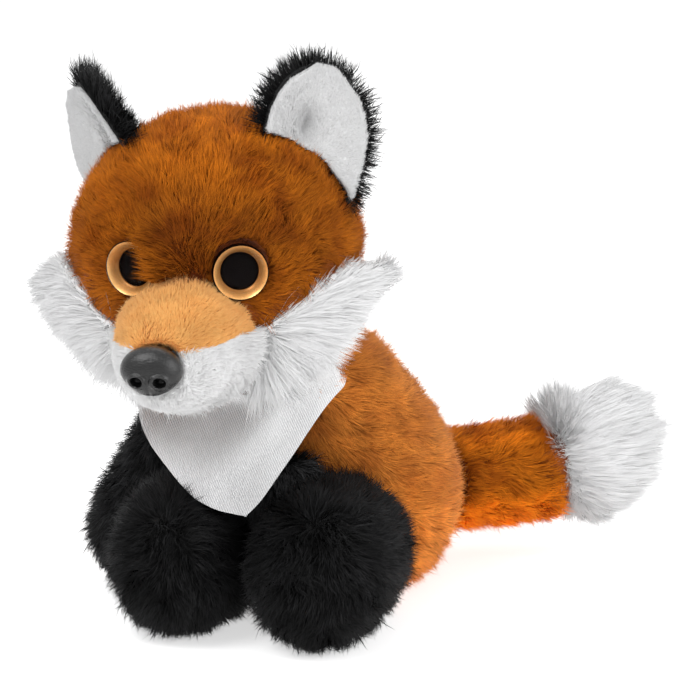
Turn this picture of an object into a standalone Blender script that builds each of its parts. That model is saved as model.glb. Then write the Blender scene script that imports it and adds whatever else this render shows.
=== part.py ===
"""A sitting plush fox with a plain white bandana, at its real size in metres, +Z up.

The fox faces -Y and its left side is +X. The origin is the middle of the flat seat under the body.
Each sewn cover is a shell with its open edge at its seam, round a core of loose fibre. A limb is cut
where it meets the body, and the cut follows the body's surface through the limb's whole swing.
"""
import math

import bmesh
import bpy
from mathutils import Matrix, Vector

# Clearances and cloth
GAP = 0.0003
SWING_GAP = 0.0005
COVER_WALL = 0.0055
SHORT_WALL = 0.0030
FLAT_DEPTH = 0.0005
SMOOTH_ANGLE = math.radians(50)
SEARCH_STEPS = 200
UP = Vector((0, 0, 1))
LEFT = Vector((1, 0, 0))
FRONT = Vector((0, -1, 0))

# Body, leaning forward from the seat to the neck
BODY_HEIGHT = 0.1040
BODY_HALF_WIDTH = 0.0445
BODY_HALF_DEPTH = 0.0435
BODY_LEAN = 0.0500
BODY_SIDES = 20
BODY_SHARES = (
    (0.000, 0.54, 0.50, 1.00),
    (0.095, 0.62, 0.58, 0.83),
    (0.190, 0.75, 0.70, 0.64),
    (0.285, 0.85, 0.82, 0.46),
    (0.400, 0.94, 0.92, 0.28),
    (0.535, 0.98, 0.98, 0.11),
    (0.670, 1.00, 1.00, 0.02),
    (0.795, 0.95, 0.95, 0.00),
    (0.890, 0.85, 0.86, 0.00),
    (0.945, 0.74, 0.75, 0.00),
    (0.978, 0.60, 0.61, 0.00),
    (0.994, 0.45, 0.46, 0.00),
)
BEAD_LEVEL = 0.0240

# Head, a round ball turned a little to its left
HEAD_SIDE = -0.0095
HEAD_FORWARD = 0.0593
HEAD_CENTRE_HEIGHT = 0.1255
HEAD_HALF_WIDTH = 0.0470
HEAD_HALF_DEPTH = 0.0435
HEAD_TURN_AT_REST = math.radians(18)
HEAD_SIDES = 24
HEAD_RINGS = 11
NECK_OPENING = 0.0200
NECK_RADIUS = 0.0150
NECK_SINK = 0.0130
NECK_SIDES = 24
NECK_SHARES = (
    (0.00, 0.86, 0.86, 0.0),
    (0.20, 1.00, 1.00, 0.0),
    (0.80, 1.00, 1.00, 0.0),
    (0.97, 0.86, 0.86, 0.0),
)
NECK_BELOW_SHARE = 0.81
NECK_BELOW_LEAN_SHARE = 0.67

# Muzzle, in the head's own directions: left, front and up from the head's centre
MUZZLE_ROOT_FRONT = 0.0260
MUZZLE_ROOT_DROP = 0.0190
MUZZLE_TIP_FRONT = 0.0700
MUZZLE_TIP_DROP = 0.0265
MUZZLE_TIP_SIDE = -0.0030
MUZZLE_HALF_WIDTH = 0.0205
MUZZLE_HALF_HEIGHT = 0.0205
MUZZLE_SIDES = 16
MUZZLE_SHARES = (
    (0.00, 1.00, 1.00, 0.0),
    (0.30, 1.00, 1.00, 0.0),
    (0.50, 0.97, 0.97, 0.0),
    (0.68, 0.87, 0.86, 0.0),
    (0.82, 0.73, 0.71, 0.0),
    (0.92, 0.58, 0.56, 0.0),
    (0.98, 0.40, 0.39, 0.0),
)
MUZZLE_SEAM_RISE = math.radians(2)
MUZZLE_SEAM_DROP = 0.0190

# Nose with its stem and lock washer
NOSE_HALF_WIDTH = 0.0092
NOSE_HALF_HEIGHT = 0.0074
NOSE_DEPTH = 0.0105
NOSE_SINK = 0.0030
NOSE_DROP = 0.0240
NOSE_SIDES = 16
NOSE_SHARES = (
    (0.00, 0.74, 0.70, 0.0),
    (0.10, 0.92, 0.90, 0.0),
    (0.28, 1.00, 1.00, 0.0),
    (0.52, 0.96, 0.95, 0.0),
    (0.76, 0.78, 0.76, 0.0),
    (0.92, 0.48, 0.46, 0.0),
)
NOSTRIL_RADIUS = 0.0011
NOSTRIL_OUT = 0.0031
NOSTRIL_DROP = 0.0022
NOSTRIL_DEPTH = 0.0030

# Eyes: black cup with pupil boss and stem, gold ring, clear dome
EYE_RADIUS = 0.0086
EYE_OUT = 0.0165
EYE_RISE = 0.0001
EYE_TOE_OUT = math.radians(19)
EYE_SINK = 0.0010
EYE_SIDES = 18
PUPIL_RADIUS = 0.0056
CUP_FLOOR = 0.0002
CUP_RIM = 0.0022
CUP_WALL = 0.0006
IRIS_THICK = 0.0008
LENS_SIDE = 0.0006
LENS_HEIGHT = 0.0048
LENS_RINGS = 5
STEM_RADIUS = 0.0022
STEM_LENGTH = 0.0120
STEM_SIDES = 12
WASHER_RADIUS = 0.0060
WASHER_THICK = 0.0012
WASHER_BEHIND = 0.0018
BORE_GAP = 0.0002

# Cheek ruffs, long white pile on each cheek
RUFF_ROOT_OUT = 0.0140
RUFF_ROOT_FRONT = 0.0285
RUFF_ROOT_DROP = 0.0210
RUFF_TIP_OUT = 0.0580
RUFF_TIP_FRONT = 0.0040
RUFF_TIP_DROP = 0.0110
RUFF_HALF_HEIGHT = 0.0205
RUFF_HALF_THICK = 0.0115
RUFF_SIDES = 12
RUFF_SHARES = (
    (0.00, 0.75, 0.95, 0.0),
    (0.20, 0.95, 1.00, 0.0),
    (0.42, 1.00, 0.98, 0.0),
    (0.62, 0.92, 0.84, 0.0),
    (0.80, 0.72, 0.60, 0.0),
    (0.93, 0.42, 0.34, 0.0),
)

# Ears, in the head's own directions
EAR_ROOT_OUT = 0.0298
LEFT_EAR_ROOT_FRONT = 0.0070
RIGHT_EAR_ROOT_FRONT = -0.0006
EAR_ROOT_RISE = 0.0267
LEFT_EAR_FACING = math.radians(30)
LEFT_EAR_LOOK_UP = math.radians(16)
LEFT_EAR_TILT_OUT = math.radians(17)
RIGHT_EAR_FACING = math.radians(52)
RIGHT_EAR_LOOK_UP = math.radians(-10)
RIGHT_EAR_TILT_OUT = math.radians(57)
EAR_SEAM_ROLL = math.radians(35)
EAR_HALF_WIDTH = 0.0198
EAR_HEIGHT = 0.0355
EAR_BURIED = 0.0150
EAR_BACK_THICK = 0.0042
EAR_LINING_THICK = 0.0026
EAR_CUP = 0.0050
EAR_LINING_INSET = 0.0035
EAR_COLUMNS = 8
EAR_OUTLINE_SHARES = (
    (0.00, 0.86),
    (0.22, 0.96),
    (0.42, 1.00),
    (0.58, 0.99),
    (0.72, 0.91),
    (0.84, 0.75),
    (0.94, 0.50),
    (1.00, 0.24),
)
EAR_FOLD_FORWARD = math.radians(20)
EAR_FOLD_BACK = math.radians(-15)

# Arms, from the chest down to the paws
ARM_HALF_WIDTH = 0.0172
ARM_HALF_DEPTH = 0.0175
ARM_SIDES = 14
ARM_SHARES = (
    (0.00, 0.66, 0.66, 0.0),
    (0.20, 0.76, 0.76, 0.0),
    (0.42, 0.88, 0.88, 0.0),
    (0.62, 1.00, 1.00, 0.0),
    (0.78, 0.99, 0.99, 0.0),
    (0.90, 0.80, 0.80, 0.0),
    (0.97, 0.50, 0.50, 0.0),
)
RIGHT_ARM_ROOT_HEIGHT = 0.0700
RIGHT_ARM_ROOT_OUT = 0.0310
RIGHT_ARM_ROOT_FRONT = 0.0370
RIGHT_PAW_OUT = 0.0575
RIGHT_PAW_FRONT = 0.0410
RIGHT_PAW_HEIGHT = 0.0060
LEFT_ARM_ROOT_HEIGHT = 0.0670
LEFT_ARM_ROOT_OUT = 0.0090
LEFT_ARM_ROOT_FRONT = 0.0320
LEFT_PAW_OUT = 0.0080
LEFT_PAW_FRONT = 0.0600
LEFT_PAW_HEIGHT = 0.0330
RIGHT_ARM_SWING = math.radians(40)
LEFT_ARM_SWING = math.radians(12)

# Legs, lying forward on the floor
LEG_HALF_WIDTH = 0.0222
LEG_HALF_HEIGHT = 0.0260
LEG_ROOT_OUT = 0.0215
LEG_ROOT_FRONT = 0.0100
RIGHT_TOE_OUT = 0.0135
RIGHT_TOE_FRONT = 0.0960
LEFT_TOE_OUT = 0.0330
LEFT_TOE_FRONT = 0.0860
LEG_SIDES = 16
LEG_SHARES = (
    (0.00, 0.74, 0.80, 0.0),
    (0.22, 0.84, 0.88, 0.0),
    (0.42, 0.94, 0.96, 0.0),
    (0.60, 1.00, 1.00, 0.0),
    (0.74, 0.98, 0.97, 0.0),
    (0.86, 0.84, 0.84, 0.0),
    (0.94, 0.62, 0.62, 0.0),
    (0.985, 0.34, 0.35, 0.0),
)
LEG_SPLAY = math.radians(14)

# Tail, lying out to the fox's left, with a long white tip
TAIL_RADIUS = 0.0180
TAIL_ROOT_OUT = 0.0060
TAIL_ROOT_BACK = 0.0260
TAIL_ROOT_HEIGHT = 0.0275
TAIL_HEADING = math.radians(40)
TAIL_LENGTH = 0.0710
TAIL_TIP_RISE = 0.0040
TAIL_SIDES = 14
TAIL_SHARES = (
    (0.00, 0.86, 0.86, 0.00),
    (0.30, 0.95, 0.95, 0.04),
    (0.60, 1.00, 1.00, 0.25),
    (0.85, 1.00, 1.00, 0.65),
    (0.95, 0.86, 0.86, 0.85),
    (0.99, 0.50, 0.50, 0.95),
)
TUFT_SINK = 0.0160
TUFT_LENGTH = 0.0500
TUFT_RADIUS = 0.0250
TUFT_RISE = 0.0100
TUFT_SHARES = (
    (0.00, 0.70, 0.70, 0.0),
    (0.25, 0.86, 0.86, 0.1),
    (0.50, 1.00, 1.00, 0.3),
    (0.72, 0.98, 0.98, 0.6),
    (0.88, 0.80, 0.80, 0.8),
    (0.97, 0.50, 0.50, 0.9),
)
TAIL_WAG_BACK = math.radians(25)
TAIL_WAG_OUT = math.radians(-12)

# Bandana, one cloth round the neck with its point on the chest
CLOTH_THICK = 0.0009
CLOTH_OFF_BODY = 0.0012
BAND_FRONT_TOP = 0.0785
BAND_BACK_TOP = 0.0960
BAND_HEIGHT = 0.0065
FLAP_DROP = 0.0275
FLAP_FORWARD = 0.0320
FLAP_EDGE = (
    (-180, 0.00, 0.00),
    (-100, 0.00, 0.00),
    (-84, 0.02, 0.35),
    (-64, 0.08, 0.80),
    (-45, 0.36, 0.80),
    (-24, 0.66, 0.82),
    (-11, 0.88, 0.90),
    (0, 0.98, 0.96),
    (11, 1.00, 1.00),
    (18, 0.87, 0.85),
    (26, 0.51, 0.38),
    (41, 0.15, 0.06),
    (60, 0.00, 0.00),
    (180, 0.00, 0.00),
)
CLOTH_COLUMNS = 40
BAND_ROWS = 2
FLAP_ROWS = 5

# How far the head nods and turns
NOD_UP = math.radians(12)
NOD_DOWN = math.radians(-3)
SWING_STEPS = 2
SMALLEST_SWING = math.radians(1)


def clear_scene():
    """Start from an empty scene."""
    for thing in list(bpy.data.objects):
        bpy.data.objects.remove(thing, do_unlink=True)


def material(name, colour, roughness, metallic=0.0, alpha=1.0):
    """A Principled material with a plain colour."""
    made = bpy.data.materials.new(name)
    made.use_nodes = True
    shader = made.node_tree.nodes["Principled BSDF"]
    shader.inputs["Base Color"].default_value = (*colour, 1.0)
    shader.inputs["Roughness"].default_value = roughness
    shader.inputs["Metallic"].default_value = metallic
    shader.inputs["Alpha"].default_value = alpha
    return made


def add_object(name, mesh, surface=None):
    """Put a mesh in the scene under its own name, shaded smooth."""
    mesh.shade_smooth()
    mesh.set_sharp_from_angle(angle=SMOOTH_ANGLE)
    thing = bpy.data.objects.new(name, mesh)
    bpy.context.scene.collection.objects.link(thing)
    if surface is not None:
        mesh.materials.append(surface)
    return thing


def set_origin(thing, pivot):
    """Move an object's origin to its joint without moving its surface."""
    thing.data.transform(Matrix.Translation(-pivot))
    thing.location = pivot


def mesh_from(name, points, faces):
    """A mesh with its faces turned outwards."""
    work = bmesh.new()
    corners = [work.verts.new(point) for point in points]
    for face in faces:
        work.faces.new([corners[index] for index in face])
    bmesh.ops.recalc_face_normals(work, faces=work.faces)
    if work.calc_volume(signed=True) < 0:
        bmesh.ops.reverse_faces(work, faces=work.faces)
    mesh = bpy.data.meshes.new(name)
    work.to_mesh(mesh)
    work.free()
    return mesh


class Form:
    """A lobe that swells and tapers along a straight axis, from its mouth to its closed tip.

    Each row of sections gives the place along the axis, the half width, the half height and the
    sideways sweep, as shares of the length, the two half sizes and the sweep.
    """

    def __init__(self, mouth, tip, half_width, half_height, sections, sides, up=UP, sweep=None):
        self.mouth = Vector(mouth)
        self.axis = (Vector(tip) - self.mouth).normalized()
        self.length = (Vector(tip) - self.mouth).length
        self.half_width = half_width
        self.half_height = half_height
        self.sections = sections
        self.sides = sides
        self.across = self.axis.cross(up).normalized()
        self.up = self.across.cross(self.axis).normalized()
        self.sweep = Vector((0, 0, 0)) if sweep is None else Vector(sweep)

    def section(self, row, inset):
        """One ring of points. The form is smaller by the inset, or larger all round if that is below zero."""
        along, wide, high, drift = row
        start = min(inset, 0.0)
        centre = self.mouth + self.axis * (start + along * (self.length - inset - start)) + self.sweep * drift
        ring = []
        for step in range(self.sides):
            angle = math.tau * step / self.sides
            side = self.across * ((self.half_width - inset) * wide * math.cos(angle))
            rise = self.up * ((self.half_height - inset) * high * math.sin(angle))
            ring.append(centre + side + rise)
        return ring

    def pole(self, inset):
        """The closed tip."""
        last_drift = self.sections[-1][3]
        return self.mouth + self.axis * (self.length - inset) + self.sweep * last_drift

    def wall(self, inset, points, faces):
        """Add the side wall and the tip, and return the index of the first ring."""
        first = len(points)
        for row in self.sections:
            points.extend(self.section(row, inset))
        for ring in range(len(self.sections) - 1):
            start = first + ring * self.sides
            for step in range(self.sides):
                after = (step + 1) % self.sides
                faces.append((start + step, start + after,
                              start + self.sides + after, start + self.sides + step))
        tip = len(points)
        points.append(self.pole(inset))
        start = tip - self.sides
        for step in range(self.sides):
            faces.append((start + step, start + (step + 1) % self.sides, tip))
        return first

    def solid(self, name, inset=0.0):
        """A closed lobe."""
        points, faces = [], []
        first = self.wall(inset, points, faces)
        faces.append(tuple(range(first, first + self.sides)))
        return mesh_from(name, points, faces)

    def shell(self, name, wall):
        """A cover of even wall, open at its mouth."""
        points, faces = [], []
        outer = self.wall(0.0, points, faces)
        inner = self.wall(wall, points, faces)
        for step in range(self.sides):
            after = (step + 1) % self.sides
            faces.append((outer + step, outer + after, inner + after, inner + step))
        return mesh_from(name, points, faces)


def slab(name, front, back, closed):
    """A sheet of even thickness from two grids of points, joined round its free edges."""
    rows = len(front)
    columns = len(front[0])
    points = [point for row in front for point in row]
    points += [point for row in back for point in row]
    offset = rows * columns
    spans = columns if closed else columns - 1
    faces = []
    for row in range(rows - 1):
        for column in range(spans):
            after = (column + 1) % columns
            corner = (row * columns + column, row * columns + after,
                      (row + 1) * columns + after, (row + 1) * columns + column)
            faces.append(corner)
            faces.append(tuple(offset + index for index in reversed(corner)))
    for row in (0, rows - 1):
        for column in range(spans):
            near = row * columns + column
            far = row * columns + (column + 1) % columns
            faces.append((near, far, offset + far, offset + near))
    if not closed:
        for column in (0, columns - 1):
            for row in range(rows - 1):
                near = row * columns + column
                far = near + columns
                faces.append((near, far, offset + far, offset + near))
    return mesh_from(name, points, faces)


def keep_side(mesh, point, normal):
    """Cut a closed mesh with a plane, and keep and cap what lies on the normal's side."""
    work = bmesh.new()
    work.from_mesh(mesh)
    every = work.verts[:] + work.edges[:] + work.faces[:]
    cut = bmesh.ops.bisect_plane(work, geom=every, plane_co=point, plane_no=normal, clear_inner=True)
    rim = [item for item in cut["geom_cut"] if isinstance(item, bmesh.types.BMEdge)]
    bmesh.ops.contextual_create(work, geom=rim)
    bmesh.ops.recalc_face_normals(work, faces=work.faces)
    work.to_mesh(mesh)
    work.free()
    return mesh


def cutter(mesh, name):
    """An object that only cuts: a guide that isn't a part of the toy."""
    guide = bpy.data.objects.new(name, mesh)
    bpy.context.scene.collection.objects.link(guide)
    guide.hide_render = True
    guide.display_type = "WIRE"
    return guide


def cut(thing, guide):
    """Take a guide's space out of an object."""
    knife = thing.modifiers.new("cut by " + guide.name, "BOOLEAN")
    knife.operation = "DIFFERENCE"
    knife.object = guide
    knife.solver = "EXACT"


def turn_about(pivot, axis, angle):
    """A turn about a line in space."""
    return Matrix.Translation(pivot) @ Matrix.Rotation(angle, 4, axis) @ Matrix.Translation(-pivot)


def swing_angles(low, high):
    """Even steps through a joint's range, with its rest angle."""
    steps = [low + (high - low) * step / SWING_STEPS for step in range(SWING_STEPS + 1)]
    return [0.0] + [angle for angle in steps if abs(angle) > SMALLEST_SWING]


def swing_guides(form, name, pivot, axis, low, high):
    """The space that a larger form fills, seen from a limb that swings about the pivot."""
    guides = []
    for number, angle in enumerate(swing_angles(low, high)):
        clearance = GAP if angle == 0.0 else SWING_GAP
        mesh = form.solid(name, -clearance)
        mesh.transform(turn_about(pivot, axis, -angle))
        guides.append(cutter(mesh, name + "_" + str(number)))
    return guides


def head_place():
    """The head's centre and its own left, back and up directions."""
    centre = Vector((HEAD_SIDE, -HEAD_FORWARD, HEAD_CENTRE_HEIGHT))
    return Matrix.Translation(centre) @ Matrix.Rotation(HEAD_TURN_AT_REST, 4, "Z")


def in_head(left, front, rise):
    """A point given from the head's centre."""
    return head_place() @ Vector((left, -front, rise))


def head_direction(left, front, rise):
    """A direction given in the head's own directions."""
    return (head_place().to_3x3() @ Vector((left, -front, rise))).normalized()


def face_front(left, rise):
    """How far in front of the head's centre its surface lies."""
    wide = left / HEAD_HALF_WIDTH
    high = rise / HEAD_HALF_DEPTH
    return HEAD_HALF_DEPTH * math.sqrt(1 - wide * wide - high * high)


def neck_axis():
    """The line that the head turns about, from the neck up through the head's centre."""
    below = Vector((0, -BODY_LEAN * NECK_BELOW_LEAN_SHARE, BODY_HEIGHT * NECK_BELOW_SHARE))
    return (in_head(0, 0, 0) - below).normalized()


def neck_pivot():
    """The middle of the neck seam, on the head's surface."""
    return in_head(0, 0, 0) - neck_axis() * HEAD_HALF_DEPTH


def body_form():
    """The pear-shaped body, from the neck down to the seat."""
    return Form((0, 0, BODY_HEIGHT), (0, 0, -FLAT_DEPTH), BODY_HALF_WIDTH, BODY_HALF_DEPTH,
                BODY_SHARES, BODY_SIDES, up=-FRONT, sweep=FRONT * BODY_LEAN)


def body_size_at(height):
    """The body's middle, half width and half depth at a height."""
    along = (BODY_HEIGHT - height) / (BODY_HEIGHT + FLAT_DEPTH)
    for low, high in zip(BODY_SHARES, BODY_SHARES[1:]):
        if low[0] <= along <= high[0]:
            part = (along - low[0]) / (high[0] - low[0])
            wide, deep, lean = (a + (b - a) * part for a, b in zip(low[1:], high[1:]))
            return -BODY_LEAN * lean, BODY_HALF_WIDTH * wide, BODY_HALF_DEPTH * deep
    raise ValueError("height outside the body")


def head_form(half_depth=HEAD_HALF_DEPTH):
    """The round head, from the neck opening to the crown."""
    opening = math.asin(NECK_OPENING / HEAD_HALF_DEPTH)
    lowest = math.cos(opening)
    rows = []
    for step in range(HEAD_RINGS):
        angle = opening + (math.pi - opening) * step / HEAD_RINGS
        rows.append(((lowest - math.cos(angle)) / (1 + lowest), math.sin(angle), math.sin(angle), 0))
    centre = in_head(0, 0, 0)
    mouth = centre - neck_axis() * (HEAD_HALF_DEPTH * lowest)
    crown = centre + neck_axis() * HEAD_HALF_DEPTH
    return Form(mouth, crown, HEAD_HALF_WIDTH, half_depth, rows, HEAD_SIDES,
                up=head_direction(0, -1, 0))


def muzzle_form():
    """The short rounded muzzle."""
    return Form(in_head(0, MUZZLE_ROOT_FRONT, -MUZZLE_ROOT_DROP),
                in_head(MUZZLE_TIP_SIDE, MUZZLE_TIP_FRONT, -MUZZLE_TIP_DROP),
                MUZZLE_HALF_WIDTH, MUZZLE_HALF_HEIGHT, MUZZLE_SHARES, MUZZLE_SIDES)


def arm_form(side):
    """One arm: the right one hangs outside its leg, the left one lies between the legs."""
    if side < 0:
        root = (-RIGHT_ARM_ROOT_OUT, -RIGHT_ARM_ROOT_FRONT, RIGHT_ARM_ROOT_HEIGHT)
        paw = (-RIGHT_PAW_OUT, -RIGHT_PAW_FRONT, RIGHT_PAW_HEIGHT)
    else:
        root = (LEFT_ARM_ROOT_OUT, -LEFT_ARM_ROOT_FRONT, LEFT_ARM_ROOT_HEIGHT)
        paw = (LEFT_PAW_OUT, -LEFT_PAW_FRONT, LEFT_PAW_HEIGHT)
    return Form(root, paw, ARM_HALF_WIDTH, ARM_HALF_DEPTH, ARM_SHARES, ARM_SIDES, up=FRONT)


def leg_height():
    """The middle of a leg, so that its lowest side is cut flat by the floor."""
    return LEG_HALF_HEIGHT - FLAT_DEPTH


def leg_form(side):
    """One leg, from the hip to the toes."""
    toe_out, toe_front = (LEFT_TOE_OUT, LEFT_TOE_FRONT) if side > 0 else (RIGHT_TOE_OUT, RIGHT_TOE_FRONT)
    return Form((side * LEG_ROOT_OUT, -LEG_ROOT_FRONT, leg_height()),
                (side * toe_out, -toe_front, leg_height()),
                LEG_HALF_WIDTH, LEG_HALF_HEIGHT, LEG_SHARES, LEG_SIDES)


def tail_heading():
    """The tail's direction on the floor, from its left towards its back."""
    return Vector((math.cos(TAIL_HEADING), math.sin(TAIL_HEADING), 0))


def tail_form():
    """The orange part of the tail."""
    root = Vector((TAIL_ROOT_OUT, TAIL_ROOT_BACK, TAIL_ROOT_HEIGHT))
    return Form(root, root + tail_heading() * TAIL_LENGTH, TAIL_RADIUS, TAIL_RADIUS,
                TAIL_SHARES, TAIL_SIDES, sweep=UP * TAIL_TIP_RISE)


def tuft_form():
    """The long white end of the tail."""
    orange = tail_form()
    root = orange.pole(TUFT_SINK)
    return Form(root, root + tail_heading() * TUFT_LENGTH, TUFT_RADIUS, TUFT_RADIUS,
                TUFT_SHARES, TAIL_SIDES, sweep=UP * TUFT_RISE)


def ruff_form(side):
    """One cheek's ruff of long pile."""
    return Form(in_head(side * RUFF_ROOT_OUT, RUFF_ROOT_FRONT, -RUFF_ROOT_DROP),
                in_head(side * RUFF_TIP_OUT, RUFF_TIP_FRONT, -RUFF_TIP_DROP),
                RUFF_HALF_THICK, RUFF_HALF_HEIGHT, RUFF_SHARES, RUFF_SIDES)


def hip_pivot(side):
    """Where a leg's seam meets the body."""
    form = leg_form(side)
    middle, half_width, half_depth = body_size_at(leg_height())
    reach = form.mouth.x / half_width
    front = middle - half_depth * math.sqrt(1 - reach * reach)
    return form.mouth + form.axis * ((front - form.mouth.y) / form.axis.y)


def surface_pivot(form):
    """Where a limb's axis leaves the body's surface."""
    for step in range(SEARCH_STEPS):
        point = form.mouth + form.axis * (form.length * step / SEARCH_STEPS)
        middle, half_width, half_depth = body_size_at(point.z)
        reach = (point.x / half_width) ** 2 + ((point.y - middle) / half_depth) ** 2
        if reach > 1:
            return point
    raise ValueError("limb doesn't leave the body")


def turned(name, profile, base, direction, sides, ring=False):
    """A turned piece from rows of place along the axis and radius, closed on its axis or as a ring."""
    side = direction.orthogonal().normalized()
    other = direction.cross(side).normalized()
    points, faces, rings = [], [], []
    for along, radius in profile:
        centre = base + direction * along
        if radius == 0:
            rings.append([len(points)])
            points.append(centre)
            continue
        rings.append(list(range(len(points), len(points) + sides)))
        for step in range(sides):
            angle = math.tau * step / sides
            points.append(centre + side * (radius * math.cos(angle)) + other * (radius * math.sin(angle)))
    pairs = list(zip(rings, rings[1:]))
    if ring:
        pairs.append((rings[-1], rings[0]))
    for near, far in pairs:
        for step in range(sides):
            after = (step + 1) % sides
            corners = [near[step % len(near)], near[after % len(near)],
                       far[after % len(far)], far[step % len(far)]]
            faces.append(tuple(dict.fromkeys(corners)))
    return mesh_from(name, points, faces)


def disc(name, base, direction, low, high, radius, sides):
    """A plain round guide between two places along an axis."""
    return turned(name, ((low, 0), (low, radius), (high, radius), (high, 0)), base, direction, sides)


def neck_form():
    """The stuffed neck, half in the body and half in the head."""
    pivot = neck_pivot()
    return Form(pivot - neck_axis() * NECK_SINK, pivot + neck_axis() * NECK_SINK,
                NECK_RADIUS, NECK_RADIUS, NECK_SHARES, NECK_SIDES, up=-FRONT)


def head_room_guides():
    """The room that the head and the neck need in the body as they nod and turn."""
    guides = []
    for number, angle in enumerate(swing_angles(NOD_DOWN, NOD_UP)):
        clearance = GAP if angle == 0.0 else SWING_GAP
        nod = turn_about(neck_pivot(), -LEFT, angle)
        for name, form in (("head_room", head_form(HEAD_HALF_WIDTH)), ("neck_room", neck_form())):
            mesh = form.solid(name, -clearance)
            mesh.transform(nod)
            guides.append(cutter(mesh, name + "_" + str(number)))
    return guides


def build_body(paint):
    """The body's cover, its fibre and its bag of beads."""
    form = body_form()
    cover_mesh = keep_side(form.shell("body_cover", COVER_WALL), (0, 0, 0), UP)
    cover = add_object("body_cover", cover_mesh, paint["rust_plush"])
    bead_top = UP * BEAD_LEVEL
    inside = COVER_WALL + GAP
    fibre = keep_side(form.solid("body_stuffing", inside), bead_top + UP * GAP, UP)
    beads = keep_side(form.solid("bead_pouch", inside), bead_top, -UP)
    stuffing = add_object("body_stuffing", fibre, paint["fibre"])
    add_object("bead_pouch", beads, paint["pouch"])
    for guide in head_room_guides():
        cut(cover, guide)
        cut(stuffing, guide)


def hang(angle):
    """How far the cloth hangs down and forward at an angle round the neck, in degrees from the front."""
    for low, high in zip(FLAP_EDGE, FLAP_EDGE[1:]):
        if low[0] <= angle <= high[0]:
            part = (angle - low[0]) / (high[0] - low[0])
            drop_share, forward_share = (a + (b - a) * part for a, b in zip(low[1:], high[1:]))
            return FLAP_DROP * drop_share, FLAP_FORWARD * forward_share
    raise ValueError("angle outside the half turn")


def cloth_point(degrees, height, forward, off_body):
    """A point of the cloth, outside the body at its height and swung forward."""
    angle = math.radians(degrees)
    middle, half_width, half_depth = body_size_at(height)
    side = (half_width + off_body) * math.sin(angle)
    front = (half_depth + off_body) * math.cos(angle) - middle
    return Vector((side, -front - forward, height))


def cloth_column(degrees, off_body):
    """The cloth's points at one angle, from its upper edge down its band and its flap."""
    back_share = (1 - math.cos(math.radians(degrees))) / 2
    top = BAND_FRONT_TOP + (BAND_BACK_TOP - BAND_FRONT_TOP) * back_share
    drop, forward = hang(degrees)
    points = []
    for row in range(BAND_ROWS):
        points.append(cloth_point(degrees, top - BAND_HEIGHT * row / BAND_ROWS, 0.0, off_body))
    for row in range(FLAP_ROWS + 1):
        part = row / FLAP_ROWS
        least = BAND_HEIGHT / BAND_ROWS * part
        height = top - BAND_HEIGHT + BAND_HEIGHT / BAND_ROWS - least - drop * part
        points.append(cloth_point(degrees, height, forward * part, off_body))
    return points


def cloth_grid(off_body):
    """The cloth's points at one distance from the body."""
    step = 360 / CLOTH_COLUMNS
    columns = [cloth_column(step * column - 180, off_body) for column in range(CLOTH_COLUMNS)]
    return [list(row) for row in zip(*columns)]


def build_bandana(paint):
    """The plain bandana."""
    inner = cloth_grid(CLOTH_OFF_BODY)
    outer = cloth_grid(CLOTH_OFF_BODY + CLOTH_THICK)
    add_object("bandana", slab("bandana", outer, inner, closed=True), paint["cloth"])


def build_neck(paint):
    """The firm neck between body and head."""
    neck = add_object("neck_stuffing", neck_form().solid("neck_stuffing"), paint["fibre"])
    set_origin(neck, neck_pivot())


def eye_place(side):
    """Where an eye sits on the head's surface and which way it looks."""
    seat = in_head(side * EYE_OUT, face_front(EYE_OUT, EYE_RISE), EYE_RISE)
    look = head_direction(side * math.sin(EYE_TOE_OUT), math.cos(EYE_TOE_OUT), 0)
    return seat, look


def eye_guides(side):
    """The room for an eye: its seat, its stem and its washer."""
    seat, look = eye_place(side)
    washer_back = -COVER_WALL - WASHER_BEHIND - WASHER_THICK - GAP
    name = "eye_room_" + ("left" if side > 0 else "right")
    rows = (
        ("_seat", -EYE_SINK - GAP, STEM_LENGTH + EYE_RADIUS, EYE_RADIUS + GAP, EYE_SIDES),
        ("_stem", -STEM_LENGTH - GAP, GAP, STEM_RADIUS + BORE_GAP, STEM_SIDES),
        ("_washer", washer_back, 0.0, WASHER_RADIUS + GAP, EYE_SIDES),
    )
    return [cutter(disc(name, seat, look, low, high, radius, sides), name + label)
            for label, low, high, radius, sides in rows]


def nose_base(back=0.0):
    """The middle of the nose's back."""
    return in_head(MUZZLE_TIP_SIDE, MUZZLE_TIP_FRONT - NOSE_SINK - back, -NOSE_DROP)


def nose_guides():
    """The room for the nose, its stem and its washer."""
    ahead = head_direction(0, 1, 0)
    base = nose_base()
    body = Form(nose_base(GAP), base + ahead * NOSE_DEPTH, NOSE_HALF_WIDTH, NOSE_HALF_HEIGHT,
                NOSE_SHARES, NOSE_SIDES)
    washer_back = -SHORT_WALL - WASHER_BEHIND - WASHER_THICK - GAP
    stem = disc("nose_stem_room", base, ahead, -STEM_LENGTH - GAP, GAP, STEM_RADIUS + BORE_GAP, STEM_SIDES)
    washer = disc("nose_washer_room", base, ahead, washer_back, 0.0, WASHER_RADIUS + GAP, EYE_SIDES)
    return [cutter(body.solid("nose_room", -GAP), "nose_room"), cutter(stem, "nose_stem_room"),
            cutter(washer, "nose_washer_room")]


def build_head(paint):
    """The head's cover and its fibre."""
    form = head_form()
    cover = add_object("head_cover", form.shell("head_cover", COVER_WALL), paint["rust_plush"])
    fibre = form.solid("head_stuffing", COVER_WALL + GAP)
    stuffing = add_object("head_stuffing", fibre, paint["fibre"])
    cut(stuffing, cutter(neck_form().solid("neck_pocket", -SWING_GAP), "neck_pocket"))
    for side in (1, -1):
        seat, stem, washer = eye_guides(side)
        cut(cover, seat)
        cut(cover, stem)
        cut(stuffing, stem)
        cut(stuffing, washer)
    for thing in (cover, stuffing):
        set_origin(thing, neck_pivot())


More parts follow.
